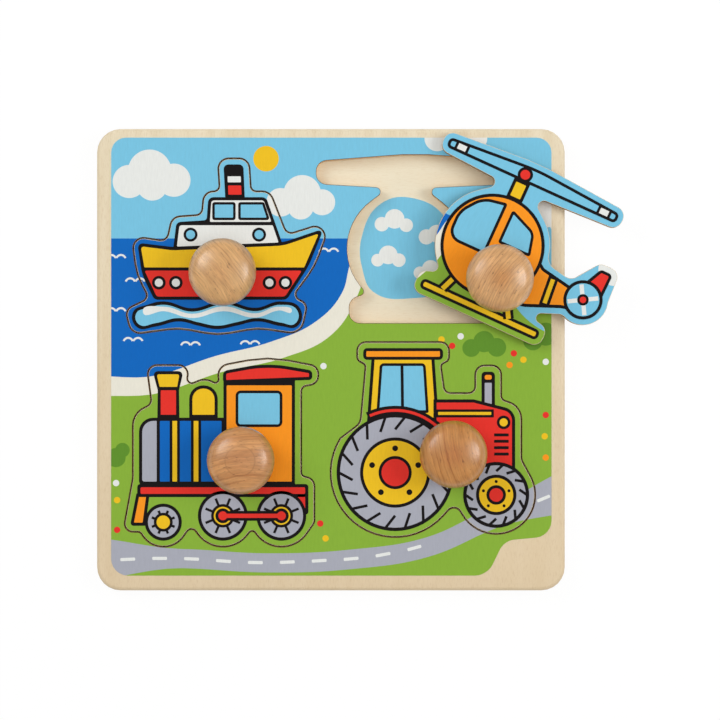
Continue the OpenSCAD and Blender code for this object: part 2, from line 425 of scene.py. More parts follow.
        # Fibres are a few hundredths of a millimetre wide; they are drawn in bundles so that they show.
        long = self.from_pith(tree, where, self.fibre_stretch)
        fibres = add_node(tree, "TexNoise", speckles(self.fibre_mm, 2.0), {"Vector": long})
        streaks = add_node(tree, "MapRange", {1: 0.3, 2: 0.7, 3: 0.86, 4: 1.14}, {0: fibres})
        return add_node(tree, "Math", {"operation": "MULTIPLY"}, {0: toned, 1: streaks})

    def material(self) -> bpy.types.Material:
        """Makes the wood of one knob.

        Returns:
            The material.
        """
        material, tree, shader = new_material(self.name)
        # Lacquer deepens the wood: the eye sees warm tan, thin year lines, dark flecks and broad soft gloss.
        where = add_node(tree, "TexCoord").outputs["Object"]
        middle = (-self.axis[0] * MM, -self.axis[1] * MM, 0)
        from_axis = add_node(tree, "Mapping", {"Location": middle}, {"Vector": where})
        flat = add_node(tree, "Mapping", {"Scale": (1, 1, 0)}, {"Vector": from_axis})
        out = add_node(tree, "VectorMath", {"operation": "LENGTH"}, {0: flat})
        tint = {"Hue": self.billet.hue, "Saturation": self.billet.depth}
        drawn = {"Color": self.figure(tree, where, out), "Value": self.tones(tree, where, from_axis)}
        dry = add_node(tree, "HueSaturation", tint, drawn)
        # Painted shade: the middle of the crown is drawn darker and redder than its sides, so that the sides
        # stand lighter, as a broad sheen of the lacquer would leave them.
        edge, core = self.painted_shade_mm
        reach = {1: edge * MM, 2: core * MM, 4: self.billet.painted_middle_shade}
        depth = add_node(tree, "MapRange", reach, {0: out})
        painted_shade_mix = {"data_type": "RGBA", "blend_type": "MULTIPLY", 7: linear(self.painted_shade_tint)}
        colour = add_node(tree, "Mix", painted_shade_mix, {0: depth, 6: dry})
        # Turning marks lie a few tenths of a millimetre apart; they are drawn 1 mm apart.
        waves = {"Scale": math.pi / 10 / MM, "Distortion": 0.6}
        grooves = {"wave_type": "RINGS", "rings_direction": "Z"} | waves
        turning = add_node(tree, "TexWave", grooves, {"Vector": from_axis})
        relief = add_node(tree, "Bump", {"Strength": 0.2, "Distance": 0.02 * MM}, {"Height": turning})
        lacquer = {"Roughness": 0.4, "Coat Weight": 0.9, "Coat Roughness": 0.28}
        wire(tree, shader, lacquer, {"Base Color": colour, "Normal": relief})
        return material


@dataclass(frozen=True)
class ZincSteel:
    """Steel, drawn, zinc-plated and tumbled."""

    name: str = "zinc_plated_steel_tumbled"
    colour: str = "#C6C9CC"
    cloud_mm: float = 1.5

    def material(self) -> bpy.types.Material:
        """Makes the plating of the screws.

        Returns:
            The material.
        """
        material, tree, shader = new_material(self.name)
        # Tumbling dulls the zinc unevenly: the eye sees bright grey metal with fine duller clouds.
        where = add_node(tree, "TexCoord").outputs["Object"]
        clouds = add_node(tree, "TexNoise", speckles(self.cloud_mm, 4.0), {"Vector": where})
        shade = add_node(tree, "MapRange", {1: 0.3, 2: 0.7, 3: 0.85, 4: 1.05}, {0: clouds})
        dull = add_node(tree, "MapRange", {1: 0.3, 2: 0.7, 3: 0.25, 4: 0.42}, {0: clouds})
        plated = add_node(tree, "HueSaturation", {"Color": linear(self.colour)}, {"Value": shade})
        wire(tree, shader, {"Metallic": 1.0}, {"Base Color": plated, "Roughness": dull})
        return material


class Shape(Protocol):
    """A flat shape of a print, in millimetres."""

    def flat(self) -> bmesh.types.BMesh:
        """Makes the shape's faces at height 0."""

    def grown(self, by: float) -> "Shape":
        """Gives the shape with its edge moved outwards."""


@dataclass(frozen=True)
class Rounded:
    """A polygon whose corners (x, y, r) run counter-clockwise, each rounded to its radius."""

    corners: tuple[Corner, ...]

    def flat(self) -> bmesh.types.BMesh:
        """Makes the polygon and bevels its corners.

        Returns:
            The shape's face.
        """
        bm = bmesh.new()
        verts = [bm.verts.new((x * MM, y * MM, 0)) for x, y, _ in self.corners]
        bm.faces.new(verts)
        places = [v.co.copy() for v in verts]
        for i, (_, _, radius) in enumerate(self.corners):
            if radius <= 0:
                continue
            back = places[i - 1] - places[i]
            ahead = places[(i + 1) % len(places)] - places[i]
            bmesh.ops.bevel(
                bm,
                geom=[verts[i]],
                offset=radius * MM / math.tan(back.angle(ahead) / 2),
                offset_type="OFFSET",
                segments=6,
                profile=0.5,
                affect="VERTICES",
                clamp_overlap=False,
                material=-1,
            )
        return bm

    def grown(self, by: float) -> "Rounded":
        """Moves each side outwards and keeps the round corners concentric.

        Args:
            by: How far, in millimetres; less than 0 is inwards.

        Returns:
            The moved polygon.
        """
        moved = []
        count = len(self.corners)
        for i, (x, y, radius) in enumerate(self.corners):
            here = Vector((x, y))
            came = (here - Vector(self.corners[i - 1][:2])).normalized()
            goes = (Vector(self.corners[(i + 1) % count][:2]) - here).normalized()
            sides = Vector((came.y, -came.x)) + Vector((goes.y, -goes.x))
            at = here + sides * by / (1 + came.dot(goes))
            bend = by if came.cross(goes) > 0 else -by
            moved.append((at.x, at.y, max(0.3, radius + bend)))
        return Rounded(tuple(moved))


@dataclass(frozen=True)
class Disc:
    """A round spot at (x, y)."""

    x: float
    y: float
    radius: float

    def flat(self) -> bmesh.types.BMesh:
        """Makes the disc.

        Returns:
            The disc's face.
        """
        bm = bmesh.new()
        centre = Matrix.Translation((self.x * MM, self.y * MM, 0))
        bmesh.ops.create_circle(bm, cap_ends=True, segments=64, radius=self.radius * MM, matrix=centre)
        return bm

    def grown(self, by: float) -> "Disc":
        """Gives a larger or smaller disc."""
        return Disc(self.x, self.y, self.radius + by)


@dataclass(frozen=True)
class Heap:
    """Round tufts (x, y, r) that run together, as in a cloud or a bush."""

    tufts: tuple[Corner, ...]

    def flat(self) -> bmesh.types.BMesh:
        """Makes the tufts, which the print joins.

        Returns:
            The tufts' faces.
        """
        bm = bmesh.new()
        for x, y, radius in self.tufts:
            add_to(bm, Disc(x, y, radius).flat())
        return bm

    def grown(self, by: float) -> "Heap":
        """Gives larger or smaller tufts."""
        return Heap(tuple((x, y, radius + by) for x, y, radius in self.tufts))


@dataclass(frozen=True)
class Arch:
    """Part of a ring around (x, y), between two radii and two angles in degrees."""

    x: float
    y: float
    inner: float
    outer: float
    start: float
    end: float

    def flat(self) -> bmesh.types.BMesh:
        """Spins a short line through the angle.

        Returns:
            The ring's faces.
        """
        bm = bmesh.new()
        angle = math.radians(self.start)
        along = Vector((math.cos(angle), math.sin(angle), 0))
        centre = Vector((self.x * MM, self.y * MM, 0))
        near = bm.verts.new(centre + along * self.inner * MM)
        far = bm.verts.new(centre + along * self.outer * MM)
        bmesh.ops.spin(
            bm,
            geom=[near, far, bm.edges.new((near, far))],
            cent=centre,
            axis=(0, 0, 1),
            angle=math.radians(self.end - self.start),
            steps=max(6, int((self.end - self.start) / 5)),
        )
        return bm

    def grown(self, by: float) -> "Arch":
        """Gives the ring with all its sides moved outwards.

        Args:
            by: How far, in millimetres; less than 0 is inwards.

        Returns:
            The moved ring.
        """
        swing = math.degrees(by / self.outer)
        radii = (self.inner - by, self.outer + by)
        return Arch(self.x, self.y, *radii, self.start - swing, self.end + swing)


@dataclass(frozen=True)
class Smooth:
    """A closed shape whose outline runs smoothly and counter-clockwise through its points."""

    points: tuple[Point, ...]

    def flat(self) -> bmesh.types.BMesh:
        """Fills a closed curve and makes it a mesh.

        Returns:
            The shape's faces.
        """
        curve = bpy.data.curves.new("outline", "CURVE")
        curve.dimensions, curve.fill_mode, curve.resolution_u = "2D", "BOTH", 10
        spline = curve.splines.new("BEZIER")
        spline.bezier_points.add(len(self.points) - 1)
        spline.use_cyclic_u = True
        for knot, (x, y) in zip(spline.bezier_points, self.points):
            knot.co = (x * MM, y * MM, 0)
            knot.handle_left_type = knot.handle_right_type = "AUTO"
        drawn = bpy.data.objects.new("outline", curve)
        bpy.context.scene.collection.objects.link(drawn)
        ready = drawn.evaluated_get(bpy.context.evaluated_depsgraph_get())
        mesh = bpy.data.meshes.new_from_object(ready)
        bm = bmesh.new()
        bm.from_mesh(mesh)
        bmesh.ops.remove_doubles(bm, verts=bm.verts, dist=WELD)
        bpy.data.objects.remove(drawn)
        bpy.data.curves.remove(curve)
        bpy.data.meshes.remove(mesh)
        return bm

    def grown(self, by: float) -> "Smooth":
        """Moves each point outwards.

        Args:
            by: How far, in millimetres; less than 0 is inwards.

        Returns:
            The moved shape.
        """
        moved = []
        count = len(self.points)
        for i, (x, y) in enumerate(self.points):
            along = Vector(self.points[(i + 1) % count]) - Vector(self.points[i - 1])
            along.normalize()
            moved.append((x + along.y * by, y - along.x * by))
        return Smooth(tuple(moved))


@dataclass(frozen=True)
class Mark:
    """One patch of ink: its colour, how many inks lie under it, and its shape."""

    ink: Ink
    layer: int
    shape: Shape


def inked(ink: Ink, layer: int, shape: Shape, line: float = 1.5) -> list[Mark]:
    """Draws a patch of colour inside a black line.

    Args:
        ink: The patch's colour.
        layer: How many inks lie under the line.
        shape: The line's outer edge.
        line: The line's width, in millimetres.

    Returns:
        The line's mark and the patch's.
    """
    return [Mark(Ink.BLACK, layer, shape), Mark(ink, layer + 1, shape.grown(-line))]


def box(x0: float, y0: float, x1: float, y1: float, r: float = 0.0) -> Rounded:
    """Gives an upright rectangle with corners of one radius, in millimetres."""
    return Rounded(((x0, y0, r), (x1, y0, r), (x1, y1, r), (x0, y1, r)))


def bar(a: Point, b: Point, width: float, r: float = 0.0) -> Rounded:
    """Gives a straight bar.

    Args:
        a: The middle of one end.
        b: The middle of the other end.
        width: The bar's width.
        r: The radius of its corners.

    Returns:
        The bar's outline.
    """
    along = Vector((b[0] - a[0], b[1] - a[1])).normalized() * width / 2
    right, left = (along.y, -along.x), (-along.y, along.x)
    ends = ((a, right), (b, right), (b, left), (a, left))
    return Rounded(tuple((end[0] + side[0], end[1] + side[1], r) for end, side in ends))


def out_from(centre: Point, reach: float, angle: float) -> Point:
    """Gives the point at a distance from a centre, at an angle in degrees."""
    a = math.radians(angle)
    return centre[0] + reach * math.cos(a), centre[1] + reach * math.sin(a)


def raise_flat(bm: bmesh.types.BMesh, level: float, reach: float) -> None:
    """Makes flat faces a closed solid that stands across a level.

    Args:
        bm: The faces, at any one height.
        level: The middle of the solid's height, in millimetres.
        reach: How far it stands above and below that, in millimetres.
    """
    low, high = (level - reach) * MM, (level + reach) * MM
    for vert in bm.verts:
        vert.co.z = low
    grown = bmesh.ops.extrude_face_region(bm, geom=bm.faces[:])["geom"]
    top = [g for g in grown if isinstance(g, bmesh.types.BMVert)]
    bmesh.ops.translate(bm, vec=(0, 0, high - low), verts=top)
    bmesh.ops.recalc_face_normals(bm, faces=bm.faces)


def add_to(target: bmesh.types.BMesh, source: bmesh.types.BMesh) -> None:
    """Adds one mesh to another and frees it.

    Args:
        target: The mesh that grows.
        source: The mesh that is added.
    """
    scratch = bpy.data.meshes.new("scratch")
    source.to_mesh(scratch)
    target.from_mesh(scratch)
    bpy.data.meshes.remove(scratch)
    source.free()


def place_object(
    name: str, bm: bmesh.types.BMesh, materials: Iterable[bpy.types.Material]
) -> bpy.types.Object:
    """Makes a finished mesh an object at the origin and frees it.

    Args:
        name: The object's name.
        bm: The mesh, in its place.
        materials: The materials, in the order of the faces' indices.

    Returns:
        The object, shaded smooth except at its sharp edges.
    """
    mesh = bpy.data.meshes.new(name)
    bm.to_mesh(mesh)
    bm.free()
    for material in materials:
        mesh.materials.append(material)
    mesh.shade_smooth()
    mesh.set_sharp_from_angle(angle=math.radians(32))
    made = bpy.data.objects.new(name, mesh)
    bpy.context.scene.collection.objects.link(made)
    return made


def common_part(first: bmesh.types.BMesh, second: bmesh.types.BMesh) -> bmesh.types.BMesh:
    """Cuts two solids down to what they share.

    Args:
        first: A closed solid, which is kept.
        second: Closed solids that may overlap each other; freed.

    Returns:
        The shared solid.
    """
    kept, cutter = bpy.data.meshes.new("kept"), bpy.data.meshes.new("cutter")
    first.to_mesh(kept)
    second.to_mesh(cutter)
    second.free()
    stock, tool = bpy.data.objects.new("kept", kept), bpy.data.objects.new("cutter", cutter)
    for made in (stock, tool):
        bpy.context.scene.collection.objects.link(made)
    cut = stock.modifiers.new("common", "BOOLEAN")
    cut.operation, cut.solver, cut.object, cut.use_self = "INTERSECT", "EXACT", tool, True
    ready = stock.evaluated_get(bpy.context.evaluated_depsgraph_get())
    shared = bpy.data.meshes.new_from_object(ready)
    bm = bmesh.new()
    bm.from_mesh(shared)
    for made in (stock, tool):
        bpy.data.objects.remove(made)
    for mesh in (kept, cutter, shared):
        bpy.data.meshes.remove(mesh)
    return bm


def apart(first: bmesh.types.BMesh, second: bmesh.types.BMesh) -> bool:
    """Tells whether two meshes lie clear of each other in plan.

    Args:
        first: A mesh.
        second: Another mesh.

    Returns:
        True if their upright boxes don't meet.
    """
    for axis in (0, 1):
        ours, theirs = ([v.co[axis] for v in bm.verts] for bm in (first, second))
        if max(ours) < min(theirs) or max(theirs) < min(ours):
            return True
    return False


def cad_copy(node: bpy.types.Object) -> bmesh.types.BMesh:
    """Copies a CAD node's loose triangles and merges them into a closed mesh.

    Args:
        node: The node, which stays as it is.

    Returns:
        The closed mesh.
    """
    bm = bmesh.new()
    bm.from_mesh(node.data)
    bmesh.ops.remove_doubles(bm, verts=bm.verts, dist=CAD_WELD)
    return bm


def top_face(node: bpy.types.Object, inset: float) -> bmesh.types.BMesh:
    """Takes the flat top of a CAD node.

    Args:
        node: The node.
        inset: How far the print stays inside the top's edges, in millimetres.

    Returns:
        The faces, at the node's own place and height.
    """
    bm = cad_copy(node)
    level = max(v.co.z for v in bm.verts)
    off_top = [f for f in bm.faces if any(abs(v.co.z - level) > 0.01 * MM for v in f.verts)]
    bmesh.ops.delete(bm, geom=off_top, context="FACES")
    if inset > 0:
        faces = bm.faces[:]
        rim = bmesh.ops.inset_region(
            bm, faces=faces, thickness=inset * MM, use_boundary=True, use_even_offset=True
        )
        bmesh.ops.delete(bm, geom=rim["faces"], context="FACES")
    return bm


def sharp_edges(bm: bmesh.types.BMesh) -> list[bmesh.types.BMEdge]:
    """Gives the edges at which two faces meet at more than 30 degrees."""
    folds = [e for e in bm.edges if len(e.link_faces) == 2]
    return [e for e in folds if e.calc_face_angle() > math.radians(30)]


def top_edges(bm: bmesh.types.BMesh, outside: bool, band: float = 5.0) -> list[bmesh.types.BMEdge]:
    """Gives the sharp edges of a board's top.

    Args:
        bm: The board, which is centred on the origin in plan.
        outside: Whether to give those around its outside or those around its recesses.
        band: How near the board's sides the outer edges lie, in millimetres.

    Returns:
        The edges.
    """
    wide, deep, high = (max(v.co[axis] for v in bm.verts) for axis in range(3))
    found = []
    for edge in sharp_edges(bm):
        at = (edge.verts[0].co + edge.verts[1].co) / 2
        near_side = wide - abs(at.x) < band * MM or deep - abs(at.y) < band * MM
        if near_side == outside and high - at.z < 0.01 * MM:
            found.append(edge)
    return found


def round_edges(
    bm: bmesh.types.BMesh, edges: list[bmesh.types.BMEdge], width: float, steps: int
) -> list[bmesh.types.BMFace]:
    """Rounds edges.

    Args:
        bm: The mesh.
        edges: The edges.
        width: The width of the rounding, in millimetres.
        steps: How many faces it has across.

    Returns:
        The faces of the rounding.
    """
    rounded = bmesh.ops.bevel(
        bm,
        geom=edges,
        offset=width * MM,
        offset_type="OFFSET",
        segments=steps,
        profile=0.5,
        affect="EDGES",
        clamp_overlap=True,
        material=-1,
    )
    return rounded["faces"]


def dress_sheet(
    name: str,
    node: bpy.types.Object,
    materials: Iterable[bpy.types.Material],
    round_over: float,
    rim_round: float = 0.0,
    cut_round: float = 0.0,
) -> bpy.types.Object:
    """Makes a plywood board or piece from its CAD node, with its sharp edges sanded round.

    Args:
        name: The new piece's name.
        node: The CAD node, which stays as it is.
        materials: The face, the sawn edge and, if it has recesses, the painted shade on the rounded edge
            around them.
        round_over: The width of the rounding, in millimetres.
        rim_round: Its width around the outside of the top; 0 for the same as elsewhere.
        cut_round: Its width around the recesses; 0 for the same as elsewhere.

    Returns:
        The new object.
    """
    bm = cad_copy(node)
    bmesh.ops.dissolve_limit(bm, angle_limit=math.radians(0.5), verts=bm.verts, edges=bm.edges)
    bm.normal_update()
    for face in bm.faces:
        face.material_index = 1 if abs(face.normal.z) < 0.5 else 0
    if rim_round > 0:
        round_edges(bm, top_edges(bm, outside=True), rim_round, 4)
    # Painted shade: the rounding around the recesses takes the third, dark brown material.
    if cut_round > 0:
        for face in round_edges(bm, top_edges(bm, outside=False), cut_round, 4):
            face.material_index = 2
    round_edges(bm, sharp_edges(bm), round_over, 2)
    made = place_object(f"{name}_wood", bm, materials)
    LOG.info("%s: %d faces", made.name, len(made.data.polygons))
    return made


@dataclass
class Print:
    """The inks on one carrier: the tray's panel, its recess floors or the top of a piece."""

    name: str
    body: str
    slot: str
    level_mm: float
    turn: float = 0.0
    first_mm: float = 0.03
    step_mm: float = 0.015
    sunk_mm: float = 0.02
    cutter_mm: float = 3.0
    films: dict[Ink, bmesh.types.BMesh] = field(default_factory=dict)

    def lay(self, ink: Ink, layer: int, solid: bmesh.types.BMesh) -> None:
        """Thins a solid that stands across the carrier's top to a film of ink.

        Args:
            ink: The film's colour.
            layer: How many inks lie under it.
            solid: A prism around the carrier's top; freed.
        """
        # Films of one ink don't share an edge, because each layer reaches a little deeper than the last.
        low = (self.level_mm - self.sunk_mm * (1 + layer / 20)) * MM
        high = (self.level_mm + self.first_mm + layer * self.step_mm) * MM
        for vert in solid.verts:
            vert.co.z = high if vert.co.z > self.level_mm * MM else low
        bmesh.ops.remove_doubles(solid, verts=solid.verts, dist=WELD)
        bmesh.ops.recalc_face_normals(solid, faces=solid.faces)
        add_to(self.films.setdefault(ink, bmesh.new()), solid)

    def draw(self, marks: Iterable[Mark], within: bmesh.types.BMesh, at: Point = (0, 0)) -> None:
        """Prints marks, joining those of one ink and layer.

        Args:
            marks: The patches of ink.
            within: A prism around the carrier's top, which they are cut to.
            at: Where the middle of the drawing lies, in millimetres.
        """
        plates: dict[tuple[Ink, int], bmesh.types.BMesh] = {}
        for mark in marks:
            solid = mark.shape.flat()
            raise_flat(solid, self.level_mm, self.cutter_mm)
            bmesh.ops.translate(solid, verts=solid.verts, vec=(at[0] * MM, at[1] * MM, 0))
            if apart(solid, within):
                solid.free()
            else:
                add_to(plates.setdefault((mark.ink, mark.layer), bmesh.new()), solid)
        for (ink, layer), plate in plates.items():
            self.lay(ink, layer, common_part(within, plate))

    def finish(self, move: Matrix) -> None:
        """Makes each ink an object that rides the carrier's body.

        Args:
            move: From where the print was drawn to where the carrier lies.
        """
        for ink, bm in self.films.items():
            if not bm.faces:
                bm.free()
                continue
            bmesh.ops.transform(bm, matrix=move, verts=bm.verts)
            colour = ScreenPrint(ink, self.turn).material()
            film = place_object(f"{self.name}_{ink.name.lower()}", bm, [colour])
            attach(film, self.body)
            LOG.info("%s: %d faces", film.name, len(film.data.polygons))


@dataclass(frozen=True)
class Landscape:
    """The printed background: sky and sea on the left, a pale shore, meadows and a road along the bottom.

    It runs across the tray and the pieces, because a puzzle of this kind is printed before it is sawn.
    """

    far: float = 130.0
    horizon: float = 57.0

    def clouds(self) -> list[Mark]:
        """Gives the clouds, as heaps of round tufts.

        Returns:
            The clouds' marks.
        """
        heaps = (
            ((-94.8, 83.8, 7.8), (-85.2, 88.6, 10.2), (-73.8, 84.4, 7.8), (-84, 82, 7.2)),
            ((-23.6, 74, 6.7), (-13.5, 78, 8.8), (-4.1, 74, 6.1), (-14.2, 72, 6.1)),
            ((50, 104, 6), (59, 105, 7.5), (68, 104, 5.5)),
            ((92, 66, 7.8), (101, 72, 9.8), (110, 66, 7.8)),
        )
        return [Mark(Ink.WHITE, 1, Heap(tufts)) for tufts in heaps]

    def water(self) -> list[Mark]:
        """Gives the sea with its wave crests, and the shore.

        Returns:
            The marks of the sea and the shore.
        """
        far = self.far
        crests = ((-92, 36), (-101, 22), (-93, 8), (-1, 50), (-101, 47), (-86, 17), (-38, 6.5), (-66, 6))
        coast = ((14, 58.5), (9, 45), (5, 31), (-7, 18), (-28, 8.5), (-55, 1.5), (-80, -7), (-far, -16))
        inland = ((-far, -35), (-78, -20), (-52, -11), (-22, -4), (2, 6), (15, 26), (20, 44), (22, 58.5))
        return [
            Mark(Ink.SEA, 2, box(-far, -40, 18, self.horizon)),
            *(Mark(Ink.WHITE, 3, ripple) for x, y in crests for ripple in self.crest(x, y)),
            Mark(Ink.SAND, 4, Smooth(coast + inland)),
        ]

    @staticmethod
    def crest(x: float, y: float) -> list[Arch]:
        """Gives a wave crest of two small arches side by side, at (x, y)."""
        return [Arch(x + side * 2.3, y, 1.8, 2.7, 20, 160) for side in (-1, 1)]

    def meadows(self) -> list[Mark]:
        """Gives the grass and the bushes.

        Returns:
            The marks of the grass and the bushes.
        """
        far = self.far
        shore = ((21, 59), (17, 46), (12, 29), (0, 11.5), (-22, 1), (-52, -6), (-78, -15), (-far, -27))
        hills = ((-far, -far), (far, -far), (far, 24), (98, 32), (72, 26), (46, 38), (32, 52))
        bushes = (
            ((66, 5.5, 4.2), (72, 8.5, 5), (78, 5.8, 4.4)),
            ((95, 9, 4.6), (101, 12, 5.4)),
            ((-101, -46, 4.5), (-98, -42.5, 3.4)),
        )
        return [
            Mark(Ink.GREEN, 5, Smooth(shore + hills)),
            *(Mark(Ink.LEAF, 6, Heap(tufts)) for tufts in bushes),
        ]

    def road(self) -> list[Mark]:
        """Gives the road with its dashes.

        Returns:
            The road's marks.
        """
        far = self.far
        upper = ((far, -52), (75, -70), (45, -83.5), (10, -89.2), (-30, -91), (-70, -89), (-far, -89.6))
        lower = ((-far, -98.6), (-70, -98), (-30, -100), (10, -98.4), (46, -92.6), (78, -79), (far, -61))
        middle = (
            (-99, -94), (-92, -93.7), (-84, -93.4), (-77, -93.4), (-69, -93.5), (-62, -93.8),
            (-54, -94.4), (-47, -94.9), (-39, -95.3), (-32, -95.4), (-24, -95.3), (-17, -95),
            (-9, -94.7), (-2, -94.3), (6, -93.9), (13, -93.3), (21, -92.3), (28, -91),
            (36, -89.4), (42.5, -87.6), (97, -66.5), (103, -64),
        )
        dashes = zip(middle[::2], middle[1::2])
        return [
            Mark(Ink.GREY, 6, Smooth(upper + lower)),
            *(Mark(Ink.WHITE, 7, bar(a, b, 1.5, 0.5)) for a, b in dashes),
        ]

    def flowers(self) -> list[Mark]:
        """Gives the flowers in the grass, as round spots.

        Returns:
            The flowers' marks.
        """
        places = {
            Ink.RED: ((86, 3), (57, 6.5), (101, -26), (-5, -77), (-100.5, -80)),
            Ink.YELLOW: ((90.5, 0), (52, 9.5), (100.5, -36), (-100.5, -66), (-2.5, -84)),
            Ink.WHITE: ((61, 11), (101, -1), (-3.5, -3), (-101, -58)),
            Ink.ORANGE: ((84, -2.5), (101, -46)),
        }
        return [Mark(ink, 7, Disc(x, y, 1.5)) for ink, spots in places.items() for x, y in spots]

    def marks(self) -> list[Mark]:
        """Gives the whole background over its sky, with the sun."""
        sun = [Mark(Ink.YELLOW, 1, Disc(-30.5, 94.5, 6))]
        return sun + self.clouds() + self.water() + self.meadows() + self.road() + self.flowers()


@dataclass
class Tray:
    """The back board and the sawn, printed sheet that is glued on it."""

    back_t: float = 3.0
    top: float = 9.0
    round_over: float = 0.08
    rim_round: float = 0.8
    cut_round: float = 0.2
    painted_edge_shade: tuple[str, str, str] = ("#5C3B1E", "#5C3B1E", "#3F2712")
    edge_colours: tuple[str, str, str] = ("#EFCB94", "#D6A163", "#B07F45")
    panel: tuple[Corner, ...] = (
        (-103.3, -101.5, 8), (73.5, -101.5, 9), (81.5, -85, 8),
        (103.7, -83, 8), (103.7, 104.4, 7), (-103.3, 104.4, 7),
    )

    def boards(self, nodes: Nodes) -> None:
        """Makes the two bare boards.

        Args:
            nodes: The CAD nodes by name.
        """
        # Painted light: the back board, seen on the recess floors, is drawn paler than the sheet's face, to
        # offset the shade of the recess walls.
        back = BirchFace("birch_plywood_sanded_face_back", "#EEE5CC", "#E7DBBF", "#E2D3B5", "#D8C49C", 90.0)
        # Painted shade: the rounded top edge around each recess is drawn dark brown, as the shadow in the
        # saw gap and on the recess walls.
        painted_edge_shade = PlywoodEdge("birch_plywood_edge_painted_shade", self.back_t, PLY_MM, *self.painted_edge_shade)
        boards = (
            ("back_board", 0.0, 1.0, back, (), 0.0, 0.0),
            ("frame_board", self.back_t, PLY_MM, BirchFace(), (painted_edge_shade,), self.rim_round, self.cut_round),
        )
        for name, base, ply, face, recess_edges, *rounds in boards:
            edge = PlywoodEdge(f"birch_plywood_sawn_edge_{name}", base, ply, *self.edge_colours)
            looks = [finish.material() for finish in (face, edge, *recess_edges)]
            board = dress_sheet(name, nodes[name], looks, self.round_over, *rounds)
            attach(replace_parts(board, name), "tray")

    def background(self, nodes: Nodes, landscape: Landscape) -> None:
        """Prints the panel around the recesses.

        Args:
            nodes: The CAD nodes by name.
            landscape: The background.
        """
        sheet = top_face(nodes["frame_board"], self.cut_round)
        raise_flat(sheet, self.top, 1)
        outline = Rounded(self.panel).flat()
        raise_flat(outline, self.top, 3)
        printed = common_part(sheet, outline)
        sheet.free()
        panel = Print("panel", "tray", "panel_print", self.top)
        panel.lay(Ink.SKY, 0, printed.copy())
        panel.draw(landscape.marks(), printed)
        printed.free()
        panel.finish(Matrix.Identity(4))

    def upper_patches(self, landscape: Landscape) -> list[Mark]:
        """Gives the prints under the helicopter and the boat: a piece of sky and one of sea.

        Args:
            landscape: The background, for its wave crests.

        Returns:
            The patches' marks.
        """
        air = ((20, 32), (38, 29), (54, 34), (59, 50), (54, 67), (40, 76), (24, 74), (14.5, 58), (15, 42))
        clouds = (
            ((22, 47, 3), (27, 49.5, 4.4), (32, 47, 3.2)),
            ((42, 41, 3), (47, 43, 4), (51, 40.5, 2.6)),
            ((24, 64, 3.4), (30, 66.5, 4.6), (35.5, 63.5, 3.2)),
            ((45, 58, 3.6), (50, 59.5, 4.2)),
        )
        near = ((-84, 34), (-66, 31), (-44, 33), (-22, 34), (-15, 46))
        off = ((-30, 54), (-52, 58), (-74, 54), (-86, 46))
        crests = ((-70, 40), (-36, 39), (-58, 49), (-28, 47))
        return [
            Mark(Ink.SKY, 0, Smooth(air)),
            *(Mark(Ink.WHITE, 1, Heap(tufts)) for tufts in clouds),
            Mark(Ink.SEA, 0, Smooth(near + off)),
            *(Mark(Ink.WHITE, 1, ripple) for x, y in crests for ripple in landscape.crest(x, y)),
        ]

    def lower_patches(self) -> list[Mark]:
        """Gives the prints under the locomotive and the tractor: a road across a lawn, and a flower field.

        Returns:
            The patches' marks.
        """
        front = ((-86, -50), (-64, -56), (-36, -54), (-16, -48))
        rear = ((-14, -30), (-32, -20), (-60, -26), (-84, -32))
        meadow = ((8, -56), (28, -62), (52, -58), (78, -62), (82, -42), (66, -28), (38, -20), (16, -30))
        lane, slope, dash = -42.4, 0.05, 6
        starts = [(x, lane + slope * (x + 70)) for x in (-74, -62, -50, -38, -26)]
        flowers = ((Ink.RED, 26, -40), (Ink.YELLOW, 40, -32), (Ink.WHITE, 56, -46), (Ink.RED, 70, -48))
        return [
            Mark(Ink.GREEN, 0, Smooth(front + rear)),
            Mark(Ink.GREY, 1, bar((-80, -43), (-20, -40), 8, 3.5)),
            *(Mark(Ink.WHITE, 2, bar((x, y), (x + dash, y + dash * slope), 1.5, 0.5)) for x, y in starts),
            Mark(Ink.GREEN, 0, Smooth(meadow)),
            *(Mark(ink, 1, Disc(x, y, 2.2)) for ink, x, y in flowers),
        ]

    def floors(self, landscape: Landscape) -> None:
        """Prints a patch on the floor of each recess, well inside its walls.

        Args:
            landscape: The background, for its wave crests.
        """
        floor = Print("floor", "tray", "panel_print", self.back_t, first_mm=0.01, step_mm=0.006)
        board = box(-105, -103, 105, 103).flat()
        raise_flat(board, self.back_t, 1)
        floor.draw(self.upper_patches(landscape) + self.lower_patches(), board)
        board.free()
        floor.finish(Matrix.Identity(4))

    def build(self, nodes: Nodes, landscape: Landscape) -> None:
        """Makes the boards and their prints.

        Args:
            nodes: The CAD nodes by name.
            landscape: The background.
        """
        self.boards(nodes)
        self.background(nodes, landscape)
        self.floors(landscape)


